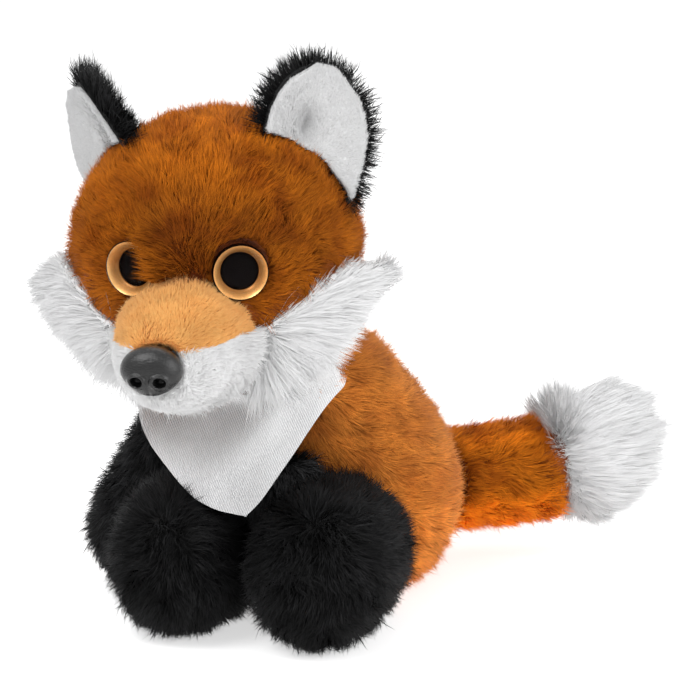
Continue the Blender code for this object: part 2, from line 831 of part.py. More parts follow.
def build_muzzle(paint):
    """The muzzle's two covers, parted by a nearly level seam, and its fibre."""
    form = muzzle_form()
    seam = in_head(0, MUZZLE_TIP_FRONT, -MUZZLE_SEAM_DROP)
    seam_up = head_direction(0, math.sin(MUZZLE_SEAM_RISE), math.cos(MUZZLE_SEAM_RISE))
    top_mesh = keep_side(form.shell("muzzle_top", SHORT_WALL), seam + seam_up * GAP / 2, seam_up)
    chin_mesh = keep_side(form.shell("muzzle_chin", SHORT_WALL), seam - seam_up * GAP / 2, -seam_up)
    top = add_object("muzzle_top", top_mesh, paint["tan_plush"])
    chin = add_object("muzzle_chin", chin_mesh, paint["white_plush"])
    fibre = form.solid("muzzle_stuffing", SHORT_WALL + GAP)
    stuffing = add_object("muzzle_stuffing", fibre, paint["fibre"])
    head = cutter(head_form().solid("muzzle_seat", -GAP), "muzzle_seat")
    nose, stem, washer = nose_guides()
    eyes = [eye_guides(side)[0] for side in (1, -1)]
    for thing in (top, chin, stuffing):
        cut(thing, head)
        cut(thing, nose)
        cut(thing, stem)
        for eye in eyes:
            cut(thing, eye)
        set_origin(thing, neck_pivot())
    cut(stuffing, washer)


def build_eye(side, paint):
    """One safety eye: cup, gold ring, clear dome and lock washer."""
    seat, look = eye_place(side)
    label = "left" if side > 0 else "right"
    well = EYE_RADIUS - CUP_WALL
    iris_low = CUP_FLOOR + GAP
    iris_high = iris_low + IRIS_THICK
    lens_low = iris_high + GAP
    lens_radius = well - GAP
    lens_edge = lens_low + LENS_SIDE
    cup_rows = ((-STEM_LENGTH, 0), (-STEM_LENGTH, STEM_RADIUS), (-EYE_SINK, STEM_RADIUS),
                (-EYE_SINK, EYE_RADIUS), (CUP_RIM, EYE_RADIUS), (CUP_RIM, well), (CUP_FLOOR, well),
                (CUP_FLOOR, PUPIL_RADIUS), (iris_high, PUPIL_RADIUS), (iris_high, 0))
    iris_rows = ((iris_low, PUPIL_RADIUS + GAP), (iris_low, lens_radius),
                 (iris_high, lens_radius), (iris_high, PUPIL_RADIUS + GAP))
    lens_rows = [(lens_low, 0), (lens_low, lens_radius)]
    for step in range(LENS_RINGS):
        angle = math.pi / 2 * step / LENS_RINGS
        lens_rows.append((lens_edge + (LENS_HEIGHT - lens_edge) * math.sin(angle),
                          lens_radius * math.cos(angle)))
    lens_rows.append((LENS_HEIGHT, 0))
    washer_rows = washer_profile(-COVER_WALL - WASHER_BEHIND)
    pieces = (
        ("eye_cup_", cup_rows, "black_plastic", False),
        ("iris_ring_", iris_rows, "gold", True),
        ("eye_lens_", lens_rows, "clear", False),
        ("eye_washer_", washer_rows, "washer_plastic", True),
    )
    for name, rows, surface, ring in pieces:
        mesh = turned(name + label, rows, seat, look, EYE_SIDES, ring)
        set_origin(add_object(name + label, mesh, paint[surface]), neck_pivot())


def washer_profile(high):
    """A lock washer's section, from its front face."""
    low = high - WASHER_THICK
    bore = STEM_RADIUS + BORE_GAP
    return ((low, bore), (low, WASHER_RADIUS), (high, WASHER_RADIUS), (high, bore))


def build_nose(paint):
    """The nose with its stem and nostrils, and its lock washer."""
    ahead = head_direction(0, 1, 0)
    whole = STEM_LENGTH + NOSE_DEPTH
    stem_share = STEM_LENGTH / whole
    stem_wide = STEM_RADIUS / NOSE_HALF_WIDTH
    stem_high = STEM_RADIUS / NOSE_HALF_HEIGHT
    rows = [(0, stem_wide, stem_high, 0), (stem_share, stem_wide, stem_high, 0)]
    for along, wide, high, drift in NOSE_SHARES:
        rows.append((stem_share + along * (1 - stem_share), wide, high, drift))
    base = nose_base()
    form = Form(base - ahead * STEM_LENGTH, base + ahead * NOSE_DEPTH, NOSE_HALF_WIDTH,
                NOSE_HALF_HEIGHT, rows, NOSE_SIDES)
    nose = add_object("nose", form.solid("nose"), paint["nose_plastic"])
    for side in (1, -1):
        middle = base + head_direction(side, 0, 0) * NOSTRIL_OUT - UP * NOSTRIL_DROP
        name = "nostril_" + ("left" if side > 0 else "right")
        hole = disc(name, middle, ahead, NOSE_DEPTH - NOSTRIL_DEPTH, NOSE_DEPTH, NOSTRIL_RADIUS, STEM_SIDES)
        cut(nose, cutter(hole, name))
    rows = washer_profile(-SHORT_WALL - WASHER_BEHIND)
    washer_mesh = turned("nose_washer", rows, base, ahead, EYE_SIDES, ring=True)
    washer = add_object("nose_washer", washer_mesh, paint["washer_plastic"])
    for thing in (nose, washer):
        set_origin(thing, neck_pivot())


def build_ruff(side, paint):
    """One cheek's ruff, shaped to the head and the muzzle."""
    name = "cheek_ruff_" + ("left" if side > 0 else "right")
    ruff = add_object(name, ruff_form(side).solid(name), paint["white_pile"])
    cut(ruff, cutter(head_form().solid(name, -GAP), name + "_head"))
    cut(ruff, cutter(muzzle_form().solid(name, -GAP), name + "_muzzle"))
    set_origin(ruff, neck_pivot())


def ear_front(side):
    """How far forward an ear is sewn on."""
    return LEFT_EAR_ROOT_FRONT if side > 0 else RIGHT_EAR_ROOT_FRONT


def ear_place(side):
    """An ear's root on the head, its way across, its way up, where it looks and its seam's line."""
    facing, look_up, tilt = (
        (LEFT_EAR_FACING, LEFT_EAR_LOOK_UP, LEFT_EAR_TILT_OUT) if side > 0
        else (RIGHT_EAR_FACING, RIGHT_EAR_LOOK_UP, RIGHT_EAR_TILT_OUT)
    )
    root = in_head(side * EAR_ROOT_OUT, ear_front(side), EAR_ROOT_RISE)
    level = math.cos(look_up)
    look = head_direction(side * math.sin(facing) * level, math.cos(facing) * level, math.sin(look_up))
    outward = head_direction(side * math.cos(facing), -math.sin(facing), 0)
    upward = look.cross(outward) * side
    rise = upward * math.cos(tilt) + outward * math.sin(tilt)
    across = outward * math.cos(tilt) - upward * math.sin(tilt)
    seam = outward * math.cos(EAR_SEAM_ROLL) - upward * math.sin(EAR_SEAM_ROLL)
    return root, across, rise, look, seam


def ear_hinge(side):
    """The middle of an ear's seam, on the head's surface."""
    out = EAR_ROOT_OUT / HEAD_HALF_WIDTH
    front = ear_front(side) / HEAD_HALF_DEPTH
    rise = EAR_ROOT_RISE / HEAD_HALF_DEPTH
    reach = math.sqrt(out * out + front * front + rise * rise)
    return in_head(side * EAR_ROOT_OUT / reach, ear_front(side) / reach, EAR_ROOT_RISE / reach)


def ear_grid(side, inset, forward):
    """A cupped sheet of an ear, smaller than the outline by the inset and moved forward."""
    root, across, rise, look, seam = ear_place(side)
    whole = EAR_HEIGHT + EAR_BURIED - inset
    grid = []
    for along, wide in EAR_OUTLINE_SHARES:
        row = []
        for column in range(EAR_COLUMNS + 1):
            share = 2 * column / EAR_COLUMNS - 1
            reach = max(EAR_HALF_WIDTH * wide - inset, inset) * share
            bend = EAR_CUP * (reach / EAR_HALF_WIDTH) ** 2
            row.append(root + across * reach + rise * (along * whole - EAR_BURIED)
                       + look * (bend + forward))
        grid.append(row)
    return grid


def build_ear(side, paint):
    """One ear: a black back and a white lining, shaped to the head for its whole fold."""
    label = "left" if side > 0 else "right"
    seam = ear_place(side)[-1]
    lining_back = EAR_BACK_THICK / 2 + GAP
    back_mesh = slab("ear_back_" + label, ear_grid(side, 0.0, EAR_BACK_THICK / 2),
                     ear_grid(side, 0.0, -EAR_BACK_THICK / 2), closed=False)
    lining_mesh = slab("ear_lining_" + label,
                       ear_grid(side, EAR_LINING_INSET, lining_back + EAR_LINING_THICK),
                       ear_grid(side, EAR_LINING_INSET, lining_back), closed=False)
    back = add_object("ear_back_" + label, back_mesh, paint["black_plush"])
    lining = add_object("ear_lining_" + label, lining_mesh, paint["white_plush"])
    hinge = ear_hinge(side)
    guides = swing_guides(head_form(), "ear_seat_" + label, hinge, seam * side,
                          EAR_FOLD_BACK, EAR_FOLD_FORWARD)
    for thing in (back, lining):
        for guide in guides:
            cut(thing, guide)
        set_origin(thing, hinge)


def build_limb(name, form, guides, pivot, paint, flat):
    """A black limb: its cover and its fibre, shaped by what it swings against."""
    cover_mesh = form.shell(name + "_cover", SHORT_WALL)
    fibre_mesh = form.solid(name + "_stuffing", SHORT_WALL + GAP)
    if flat:
        keep_side(cover_mesh, (0, 0, 0), UP)
    cover = add_object(name + "_cover", cover_mesh, paint["black_plush"])
    stuffing = add_object(name + "_stuffing", fibre_mesh, paint["fibre"])
    for thing in (cover, stuffing):
        for guide in guides:
            cut(thing, guide)
        set_origin(thing, pivot)


def build_leg(side, paint):
    """One leg, cut flat where it lies on the floor."""
    name = "leg_" + ("left" if side > 0 else "right")
    pivot = hip_pivot(side)
    guides = swing_guides(body_form(), name + "_body", pivot, UP * side, 0.0, LEG_SPLAY)
    build_limb(name, leg_form(side), guides, pivot, paint, flat=True)


def build_right_arm(paint):
    """The right arm, shaped to the body and to the leg that it hangs beside."""
    form = arm_form(-1)
    pivot = surface_pivot(form)
    guides = swing_guides(body_form(), "arm_right_body", pivot, -FRONT, 0.0, RIGHT_ARM_SWING)
    splay = swing_guides(leg_form(-1), "arm_right_leg", hip_pivot(-1), UP, 0.0, LEG_SPLAY)
    build_limb("arm_right", form, guides + splay, pivot, paint, flat=False)


def build_left_arm(paint):
    """The left arm, shaped to the body and to the legs that it lies between."""
    form = arm_form(1)
    pivot = surface_pivot(form)
    guides = swing_guides(body_form(), "arm_left_body", pivot, -LEFT, 0.0, LEFT_ARM_SWING)
    for side in (1, -1):
        name = "arm_left_leg_" + ("left" if side > 0 else "right")
        guides += swing_guides(leg_form(side), name, pivot, -LEFT, 0.0, LEFT_ARM_SWING)
        splayed = leg_form(side).solid(name, -SWING_GAP)
        splayed.transform(turn_about(hip_pivot(side), UP * side, LEG_SPLAY))
        splayed.transform(turn_about(pivot, -LEFT, -LEFT_ARM_SWING))
        guides.append(cutter(splayed, name + "_splayed"))
    build_limb("arm_left", form, guides, pivot, paint, flat=False)


def build_tail(paint):
    """The tail's cover, its fibre and its long white end."""
    form = tail_form()
    pivot = surface_pivot(form)
    cover = add_object("tail_cover", form.shell("tail_cover", SHORT_WALL), paint["rust_plush"])
    fibre = form.solid("tail_stuffing", SHORT_WALL + GAP)
    stuffing = add_object("tail_stuffing", fibre, paint["fibre"])
    tip = add_object("tail_tip", tuft_form().solid("tail_tip"), paint["white_pile"])
    cut(tip, cutter(form.solid("tail_end", -GAP), "tail_end"))
    guides = swing_guides(body_form(), "tail_body", pivot, UP, TAIL_WAG_OUT, TAIL_WAG_BACK)
    for thing in (cover, stuffing):
        for guide in guides:
            cut(thing, guide)
    for thing in (cover, stuffing, tip):
        set_origin(thing, pivot)


def make_paint():
    """Every surface of the toy."""
    return {
        "rust_plush": material("rust_plush", (0.46, 0.13, 0.025), 0.95),
        "black_plush": material("black_plush", (0.012, 0.012, 0.013), 0.95),
        "white_plush": material("white_plush", (0.82, 0.82, 0.83), 0.95),
        "tan_plush": material("tan_plush", (0.62, 0.27, 0.09), 0.95),
        "white_pile": material("white_pile", (0.85, 0.85, 0.86), 0.90),
        "fibre": material("fibre", (0.80, 0.79, 0.76), 0.95),
        "pouch": material("pouch", (0.55, 0.53, 0.50), 0.90),
        "cloth": material("cloth", (0.80, 0.81, 0.84), 0.85),
        "black_plastic": material("black_plastic", (0.006, 0.006, 0.007), 0.15),
        "nose_plastic": material("nose_plastic", (0.010, 0.010, 0.011), 0.35),
        "gold": material("gold", (0.55, 0.30, 0.06), 0.25, metallic=1.0),
        "clear": material("clear", (0.90, 0.90, 0.90), 0.03, alpha=0.15),
        "washer_plastic": material("washer_plastic", (0.75, 0.75, 0.73), 0.50),
    }


def main():
    """Build every piece of the toy."""
    clear_scene()
    paint = make_paint()
    build_body(paint)
    build_bandana(paint)
    build_neck(paint)
    build_head(paint)
    build_muzzle(paint)
    build_nose(paint)
    for side in (1, -1):
        build_eye(side, paint)
        build_ruff(side, paint)
        build_ear(side, paint)
        build_leg(side, paint)
    build_right_arm(paint)
    build_left_arm(paint)
    build_tail(paint)


main()
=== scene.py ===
"""The looks of the plush fox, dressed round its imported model.

Each stuffed cover becomes a smooth skin that carries its pile as separate tapered hairs. A skin lies
a few millimetres under the solid's surface and the pile fills up to it, as plush does on its backing.
All places are in metres in the model's own frame: the fox faces -Y and its left side is +X.
"""
import math

import bmesh
import bpy
import numpy as np
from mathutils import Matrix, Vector
from mathutils.bvhtree import BVHTree
from mathutils.kdtree import KDTree


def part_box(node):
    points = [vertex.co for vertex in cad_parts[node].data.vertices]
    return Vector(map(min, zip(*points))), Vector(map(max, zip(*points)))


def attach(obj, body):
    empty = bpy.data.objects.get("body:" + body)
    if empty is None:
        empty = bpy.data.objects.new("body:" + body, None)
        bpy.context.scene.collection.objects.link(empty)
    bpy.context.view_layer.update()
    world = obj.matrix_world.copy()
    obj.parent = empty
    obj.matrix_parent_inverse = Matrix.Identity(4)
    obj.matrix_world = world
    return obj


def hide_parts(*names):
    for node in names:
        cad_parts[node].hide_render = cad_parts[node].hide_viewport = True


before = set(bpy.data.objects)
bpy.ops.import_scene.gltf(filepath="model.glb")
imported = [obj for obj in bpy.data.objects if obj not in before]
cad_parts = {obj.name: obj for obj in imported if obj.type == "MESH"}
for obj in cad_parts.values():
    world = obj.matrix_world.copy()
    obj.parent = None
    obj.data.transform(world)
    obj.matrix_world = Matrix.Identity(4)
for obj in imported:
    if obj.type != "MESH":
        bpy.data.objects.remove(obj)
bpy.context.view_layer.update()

UP = np.array((0.0, 0.0, 1.0))
MM = 0.001
WAVES = 7
SIDES = (("left", 1), ("right", -1))

# The head's own directions and middle
HEAD_TURN = math.radians(18)
HEAD_CENTRE = np.array((-0.0095, -0.0593, 0.1255))
HEAD_LEFT = np.array((math.cos(HEAD_TURN), math.sin(HEAD_TURN), 0.0))
HEAD_FRONT = np.array((math.sin(HEAD_TURN), -math.cos(HEAD_TURN), 0.0))
EYE_TOE_OUT = math.radians(19)
EYE_DEPTH = 15 * MM
EYE_PARTS = ("eye_cup_", "iris_ring_", "eye_lens_")

# Ears: how far forward, and in degrees where each faces, looks up and tilts out
EAR_OUT = 0.0298
EAR_RISE = 0.0267
EAR_HALF_WIDTH = 0.0198
EAR_HEIGHT = 0.0355
EARS = {"left": (0.0070, 30, 16, 17), "right": (-0.0006, 52, -10, 57)}
EAR_DENTS = {"left": 6.5 * MM, "right": 1.0 * MM}

# Bandana: its cut, its area, its fold across the view and up, and its twill
FOLD = ((-0.0390, 0.0500), (-0.0090, 0.0780))
TWILL_WAY = (0.762, 0.504, 0.411)
TWILL_STEP = 0.00070
CLOTH_POINT = (0.0119, -0.0781, 0.0440)
CLOTH_LIFT = 0.009
BAND_SINK = 4.6 * MM
BAND_MIDDLE = (0.0753, 0.0928)
HIDDEN_LEFT, HIDDEN_RIGHT = (63, 70), (88, 104)
BARE_FROM, BARE_HALF_WIDTH = 0.071, 42
BODY_MIDDLE = -0.025
FAR_OUT = 0.2

# Coats: hairs to a square millimetre, their length and width, and how deep their skin lies
COATS = {
    "head": (7.0, 7.0 * MM, 0.24 * MM, 4.2 * MM),
    "body": (6.0, 7.8 * MM, 0.25 * MM, 4.2 * MM),
    "limb": (4.2, 7.5 * MM, 0.30 * MM, 3.0 * MM),
    "tail": (5.0, 7.0 * MM, 0.28 * MM, 3.2 * MM),
    "ruff": (6.5, 12 * MM, 0.28 * MM, 5.0 * MM),
}

# Limbs: where the pile's whorl is, the seed of its draws, and how much it hangs down, which also paints a
# hanging limb's pile brighter as painted light
LIMBS = {
    "leg_left": ((0.034, -0.072, 0.045), 21, 0.0),
    "leg_right": ((-0.012, -0.085, 0.040), 22, 0.0),
    "arm_right": ((-0.045, -0.050, 0.075), 23, 0.6),
    "arm_left": ((0.008, -0.045, 0.065), 24, 0.6),
}

# Cheek ruffs: the solid's root and tip in the head's directions, for the left side
RUFF_ROOT = (14 * MM, 28.5 * MM, -21 * MM)
RUFF_TIP = (58 * MM, 4 * MM, -11 * MM)

# Muzzle: how far the seam between its two plushes tips forward
SEAM_TILT = math.radians(2)

# Eyes: rows of place along the axis and radius, in millimetres
CUP_ROWS = ((-2.6, 0), (-2.6, 7.4), (-2.2, 8.1), (-0.6, 8.55), (1.2, 8.62), (2.0, 8.55), (2.25, 8.4),
            (2.2, 8.25), (1.9, 8.2), (-1.4, 6.4), (-1.6, 5.9), (-1.3, 5.7), (-1.0, 4.6), (-0.8, 3.0),
            (-0.75, 0))
RING_ROWS = ((-1.25, 5.85), (1.75, 8.0), (2.0, 8.22), (1.9, 8.1), (1.2, 7.5), (0.4, 7.0), (-0.4, 6.45),
             (-0.85, 6.05), (-1.0, 5.85), (-1.25, 5.85))
DOME_ROWS = ((2.15, 0), (2.15, 8.15), (2.4, 8.15))
DOME_STEPS = 15
TURNED_SIDES = 72

# Nose: its depth, half width and half height
NOSE_SIZE = (12.0 * MM, 9.4 * MM, 7.5 * MM)
NOSE_SIDES, NOSE_RINGS = 120, 60

CAMERA_TARGET = Vector((0.0, 0.0, 0.100))
CAMERA_AZIMUTH = math.radians(28)
CAMERA_ELEVATION = math.radians(12)
CAMERA_DISTANCE = 0.900
CAMERA_LENS = 137.9
CAMERA_SENSOR = 36.0
CAMERA_SHIFT = (20 / 700, -58 / 700)

# Lamps: azimuth, elevation, distance, size and power
LAMP_TARGET = Vector((0, -0.02, 0.09))
LAMPS = {
    "key": (-15, 50, 1.1, 0.5, 5.8),
    "fill": (85, 25, 1.2, 0.8, 6.8),
    "back": (200, 50, 1.2, 0.6, 3.7),
}
WORLD_LIGHT = 0.52
FLOOR_HALF = 6.0


def unit(rows):
    """Rows scaled to length one."""
    return rows / np.maximum(np.linalg.norm(rows, axis=-1, keepdims=True), 1e-12)


def along_surface(rows, normals):
    """The part of each row that lies in its surface, at length one."""
    return unit(rows - normals * (rows * normals).sum(1, keepdims=True))


def smooth_step(values, low, high):
    """0 below low, 1 above high, and smooth between."""
    share = np.clip((values - low) / (high - low), 0, 1)
    return share * share * (3 - 2 * share)


def in_head(left, front, up):
    """A point given from the head's middle in the head's own directions."""
    return HEAD_CENTRE + HEAD_LEFT * left + HEAD_FRONT * front + UP * up


def from_head(points):
    """How far left, in front and above the head's middle points are."""
    offset = points - HEAD_CENTRE
    return offset @ HEAD_LEFT, offset @ HEAD_FRONT, offset @ UP


def hill(values, width):
    """1 at zero, falling off smoothly over the given width."""
    return np.exp(-(values / width) ** 2)


def waves(points, size, seed):
    """Smooth noise from -1 to 1 that changes over about the given size."""
    rng = np.random.default_rng(seed)
    pulls = unit(rng.normal(size=(WAVES, 3))) * rng.uniform(0.6, 1.5, (WAVES, 1)) * math.tau / size
    return np.clip(np.sin(points @ pulls.T + rng.uniform(0, math.tau, WAVES)).mean(1) * 1.7, -1, 1)


def wave_rows(points, size, seed):
    """Three independent smooth noises as rows."""
    return np.stack([waves(points, size, seed + axis) for axis in range(3)], 1)


# ---- meshes


def add_thing(name, data):
    """A new object in the scene."""
    thing = bpy.data.objects.new(name, data)
    bpy.context.scene.collection.objects.link(thing)
    return thing


def link(name, mesh, paint, body=None, nodes=()):
    """A new piece with its material, the body it rides on and the nodes it stands for."""
    thing = add_thing(name, mesh)
    mesh.materials.clear()
    mesh.materials.append(paint)
    if body:
        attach(thing, body)
    if nodes:
        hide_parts(*nodes)
    return thing


def carry(mesh, name, values):
    """A value that each of a mesh's points carries."""
    mesh.attributes.new(name, "FLOAT", "POINT").data.foreach_set("value", values.astype(np.float32))


def face_outward(mesh):
    """Turn a closed mesh's faces outward."""
    work = bmesh.new()
    work.from_mesh(mesh)
    bmesh.ops.recalc_face_normals(work, faces=work.faces[:])
    work.to_mesh(mesh)
    work.free()


def numbers(mesh):
    """A mesh's points and triangles as arrays."""
    mesh.calc_loop_triangles()
    points = np.zeros(len(mesh.vertices) * 3, np.float32)
    mesh.vertices.foreach_get("co", points)
    tris = np.zeros(len(mesh.loop_triangles) * 3, np.int32)
    mesh.loop_triangles.foreach_get("vertices", tris)
    return points.reshape(-1, 3).astype(float), tris.reshape(-1, 3)


def from_numbers(name, points, faces, smooth=True):
    """A mesh from points and faces."""
    mesh = bpy.data.meshes.new(name)
    mesh.from_pydata(points.tolist(), [], [list(map(int, face)) for face in faces])
    mesh.update()
    if smooth:
        mesh.shade_smooth()
    return mesh


def cad_numbers(nodes):
    """The points and triangles of some CAD nodes together."""
    points, tris, total = [], [], 0
    for node in nodes:
        more, faces = numbers(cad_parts[node].data)
        points.append(more)
        tris.append(faces + total)
        total += len(more)
    return np.concatenate(points), np.concatenate(tris)


def cad_tree(nodes):
    """The surfaces of some CAD nodes, to be searched."""
    return BVHTree.FromPolygons(*(rows.tolist() for rows in cad_numbers(nodes)))


def gap_to(nodes, points):
    """How far each point is from some CAD nodes."""
    tree = cad_tree(nodes)
    return np.array([tree.find_nearest(Vector(point))[3] for point in points])


def vertex_normals(points, tris):
    """Each point's normal from the triangles round it."""
    a, b, c = (points[tris[:, corner]] for corner in range(3))
    face = np.cross(b - a, c - a)
    normals = np.zeros_like(points)
    for corner in range(3):
        np.add.at(normals, tris[:, corner], face)
    return unit(normals)


def edges_of(tris):
    """The pairs of points that share a triangle's side."""
    pairs = np.concatenate([tris[:, (0, 1)], tris[:, (1, 2)], tris[:, (2, 0)]])
    return np.unique(np.sort(pairs, 1), axis=0)


def spread(values, pairs, rounds, pull=0.5):
    """Values averaged with their neighbours, some rounds over."""
    count = np.bincount(pairs.ravel(), minlength=len(values)).astype(float)
    count = np.maximum(count, 1).reshape((-1,) + (1,) * (values.ndim - 1))
    for _ in range(rounds):
        total = np.zeros_like(values)
        np.add.at(total, pairs[:, 0], values[pairs[:, 1]])
        np.add.at(total, pairs[:, 1], values[pairs[:, 0]])
        values = values + (total / count - values) * pull
    return values


def biggest_piece(points, tris):
    """Only the largest connected surface."""
    label = np.arange(len(points))
    pairs = edges_of(tris)
    while True:
        lower = label.copy()
        least = np.minimum(label[pairs[:, 0]], label[pairs[:, 1]])
        np.minimum.at(lower, pairs[:, 0], least)
        np.minimum.at(lower, pairs[:, 1], least)
        lower = lower[lower]
        if (lower == label).all():
            break
        label = lower
    names, counts = np.unique(label[tris[:, 0]], return_counts=True)
    kept = tris[label[tris[:, 0]] == names[counts.argmax()]]
    used = np.unique(kept)
    place = np.zeros(len(points), int)
    place[used] = np.arange(len(used))
    return points[used], place[kept]


class Skin:
    """A smooth closed surface round some CAD nodes, with how free of other pieces each point is."""

    def __init__(self, name, nodes, voxel=1.6 * MM, rounds=8, reach=5 * MM, clear=3 * MM, floor=True,
                 meets=()):
        self.name, self.nodes, self.meets = name, nodes, meets
        self.reach, self.clear, self.floor = reach, clear, floor
        thing = add_thing(name, from_numbers(name, *cad_numbers(nodes)))
        remesh = thing.modifiers.new("remesh", "REMESH")
        remesh.mode = "VOXEL"
        remesh.voxel_size = voxel
        seen = bpy.context.evaluated_depsgraph_get()
        made = bpy.data.meshes.new_from_object(thing.evaluated_get(seen))
        points, tris = biggest_piece(*numbers(made))
        bpy.data.objects.remove(thing)
        self.tris = tris
        self.pairs = edges_of(tris)
        self.points = spread(points, self.pairs, rounds)
        self.normals = vertex_normals(self.points, tris)
        self.free, self.open = self.freedom()

    def freedom(self, skipped=(), cover=None):
        """0 where another piece covers the surface, 1 where nothing is near: for hair and for sinking."""
        reach, clear, floor = self.reach, self.clear, self.floor
        rest = [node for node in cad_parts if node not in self.nodes and node not in skipped]
        trees = []
        for nodes in (rest, [node for node in rest if node not in self.meets]):
            points, tris = cad_numbers(nodes)
            if cover is not None:
                tris = np.concatenate([tris, cover[1] + len(points)])
                points = np.concatenate([points, cover[0]])
            trees.append(BVHTree.FromPolygons(points.tolist(), tris.tolist()))
        free = np.ones((2, len(self.points)))
        for number, (point, normal) in enumerate(zip(self.points, self.normals)):
            start = Vector(point - normal * MM)
            hit = trees[0].ray_cast(start, Vector(normal), reach + MM)
            ahead = 1.0 if hit[0] is None else max(hit[3] / MM - 2.0, 0.0) / (reach / MM)
            for kind, tree in ((0, trees[1]), (1, trees[0])):
                near = tree.find_nearest(Vector(point), clear)
                beside = 1.0 if near[0] is None else near[3] / clear
                free[kind, number] = min(ahead, beside)
        if floor:
            down = smooth_step(-self.normals[:, 2], 0.55, 0.85)
            low = 1 - smooth_step(self.points[:, 2], 0.5 * MM, 2.5 * MM)
            free *= 1 - down * low
        return free

    def sunk(self, depth):
        """The surface that the pile stands on."""
        sink = spread(self.open, self.pairs, 4)[:, None] * depth
        return self.points - self.normals * sink

    def piece(self, body, paint, depth):
        """The skin as a piece that stands for its nodes."""
        mesh = from_numbers(self.name, self.sunk(depth), self.tris)
        thing = link(self.name, mesh, paint, body, self.nodes)


# ---- pile

MOST_FACES = 180000
MOST_ROLL = 0.9
LONG_ROWS = np.array((0.0, 0.38, 0.72, 1.0))
SHORT_ROWS = np.array((0.0, 0.55, 1.0))
FLOOR_GAP = 0.4 * MM


class Roots:
    """Random places on a skin, with their normals and freedom."""

    def __init__(self, skin, per_mm2, seed, keep=None):
        rng = np.random.default_rng(seed)
        corners = [skin.points[skin.tris[:, corner]] for corner in range(3)]
        area = np.linalg.norm(np.cross(corners[1] - corners[0], corners[2] - corners[0]), axis=1) / 2
        free = skin.free[skin.tris].mean(1)
        area = area * (free > 0.12)
        if keep is not None:
            area = area * keep(sum(corners) / 3, skin.normals[skin.tris].mean(1))
        count = int(area.sum() / MM ** 2 * per_mm2)
        face = rng.choice(len(area), count, p=area / area.sum())
        u, v = rng.random((2, count))
        over = u + v > 1
        u[over], v[over] = 1 - u[over], 1 - v[over]
        shares = np.stack((1 - u - v, u, v), 1)
        picked = skin.tris[face]
        self.points = (skin.points[picked] * shares[:, :, None]).sum(1)
        self.normals = unit((skin.normals[picked] * shares[:, :, None]).sum(1))
        self.free = (skin.free[picked] * shares).sum(1)
        self.count, self.rng = count, rng


def clumped(lines, roots, rows, clump, per_clump):
    """Hairs whose tips draw together into locks."""
    rng = roots.rng
    heads = rng.choice(roots.count, max(roots.count // per_clump, 1), replace=False)
    tree = KDTree(len(heads))
    for number, head in enumerate(heads):
        tree.insert(roots.points[head], number)
    tree.balance()
    own = heads[np.fromiter((tree.find(point)[1] for point in roots.points), int, roots.count)]
    pull = clump * rng.uniform(0.4, 1.3, roots.count).clip(0, 0.9)
    for row, t in enumerate(rows):
        lines[:, row] += (lines[own, row] - lines[:, row]) * (pull * t ** 1.4)[:, None]
    return lines


def comb_hairs(roots, comb, length, depth, rise, clump=0.45, per_clump=14, messy=0.25, droop=0.0,
               vary=0.18, swirl=0.35, swirl_size=14 * MM, seed=0, rows=SHORT_ROWS):
    """The hairs' lines: for each hair, a few points from its root to its tip."""
    rng, points, normals = roots.rng, roots.points, roots.normals
    way = along_surface(comb + wave_rows(points, swirl_size, seed + 50) * swirl
                        + rng.normal(size=points.shape) * messy * 0.5, normals)
    long = length * (1 + rng.normal(size=roots.count) * vary).clip(0.45, 1.5)
    long = long * (0.45 + 0.55 * roots.free ** 0.7)
    stand = np.clip(rise + rng.normal(size=roots.count) * messy * 0.45
                    + waves(points, swirl_size * 0.7, seed + 60) * 0.10, 0.12, 1.0)
    lean = np.sqrt(1 - stand ** 2)
    start = points - normals * (depth * np.clip(roots.free * 1.4, 0, 1))[:, None]
    kink = along_surface(rng.normal(size=points.shape), normals) * (long * messy * 0.35)[:, None]
    lines = []
    for t in rows:
        up = long * stand * (1.45 * t - 0.45 * t * t)
        on = long * lean * t ** 1.45
        fall = long * droop * t * t
        lines.append(start + normals * up[:, None] + way * on[:, None] - UP * fall[:, None]
                     + kink * t * t)
    return clumped(np.stack(lines, 1), roots, rows, clump, per_clump)


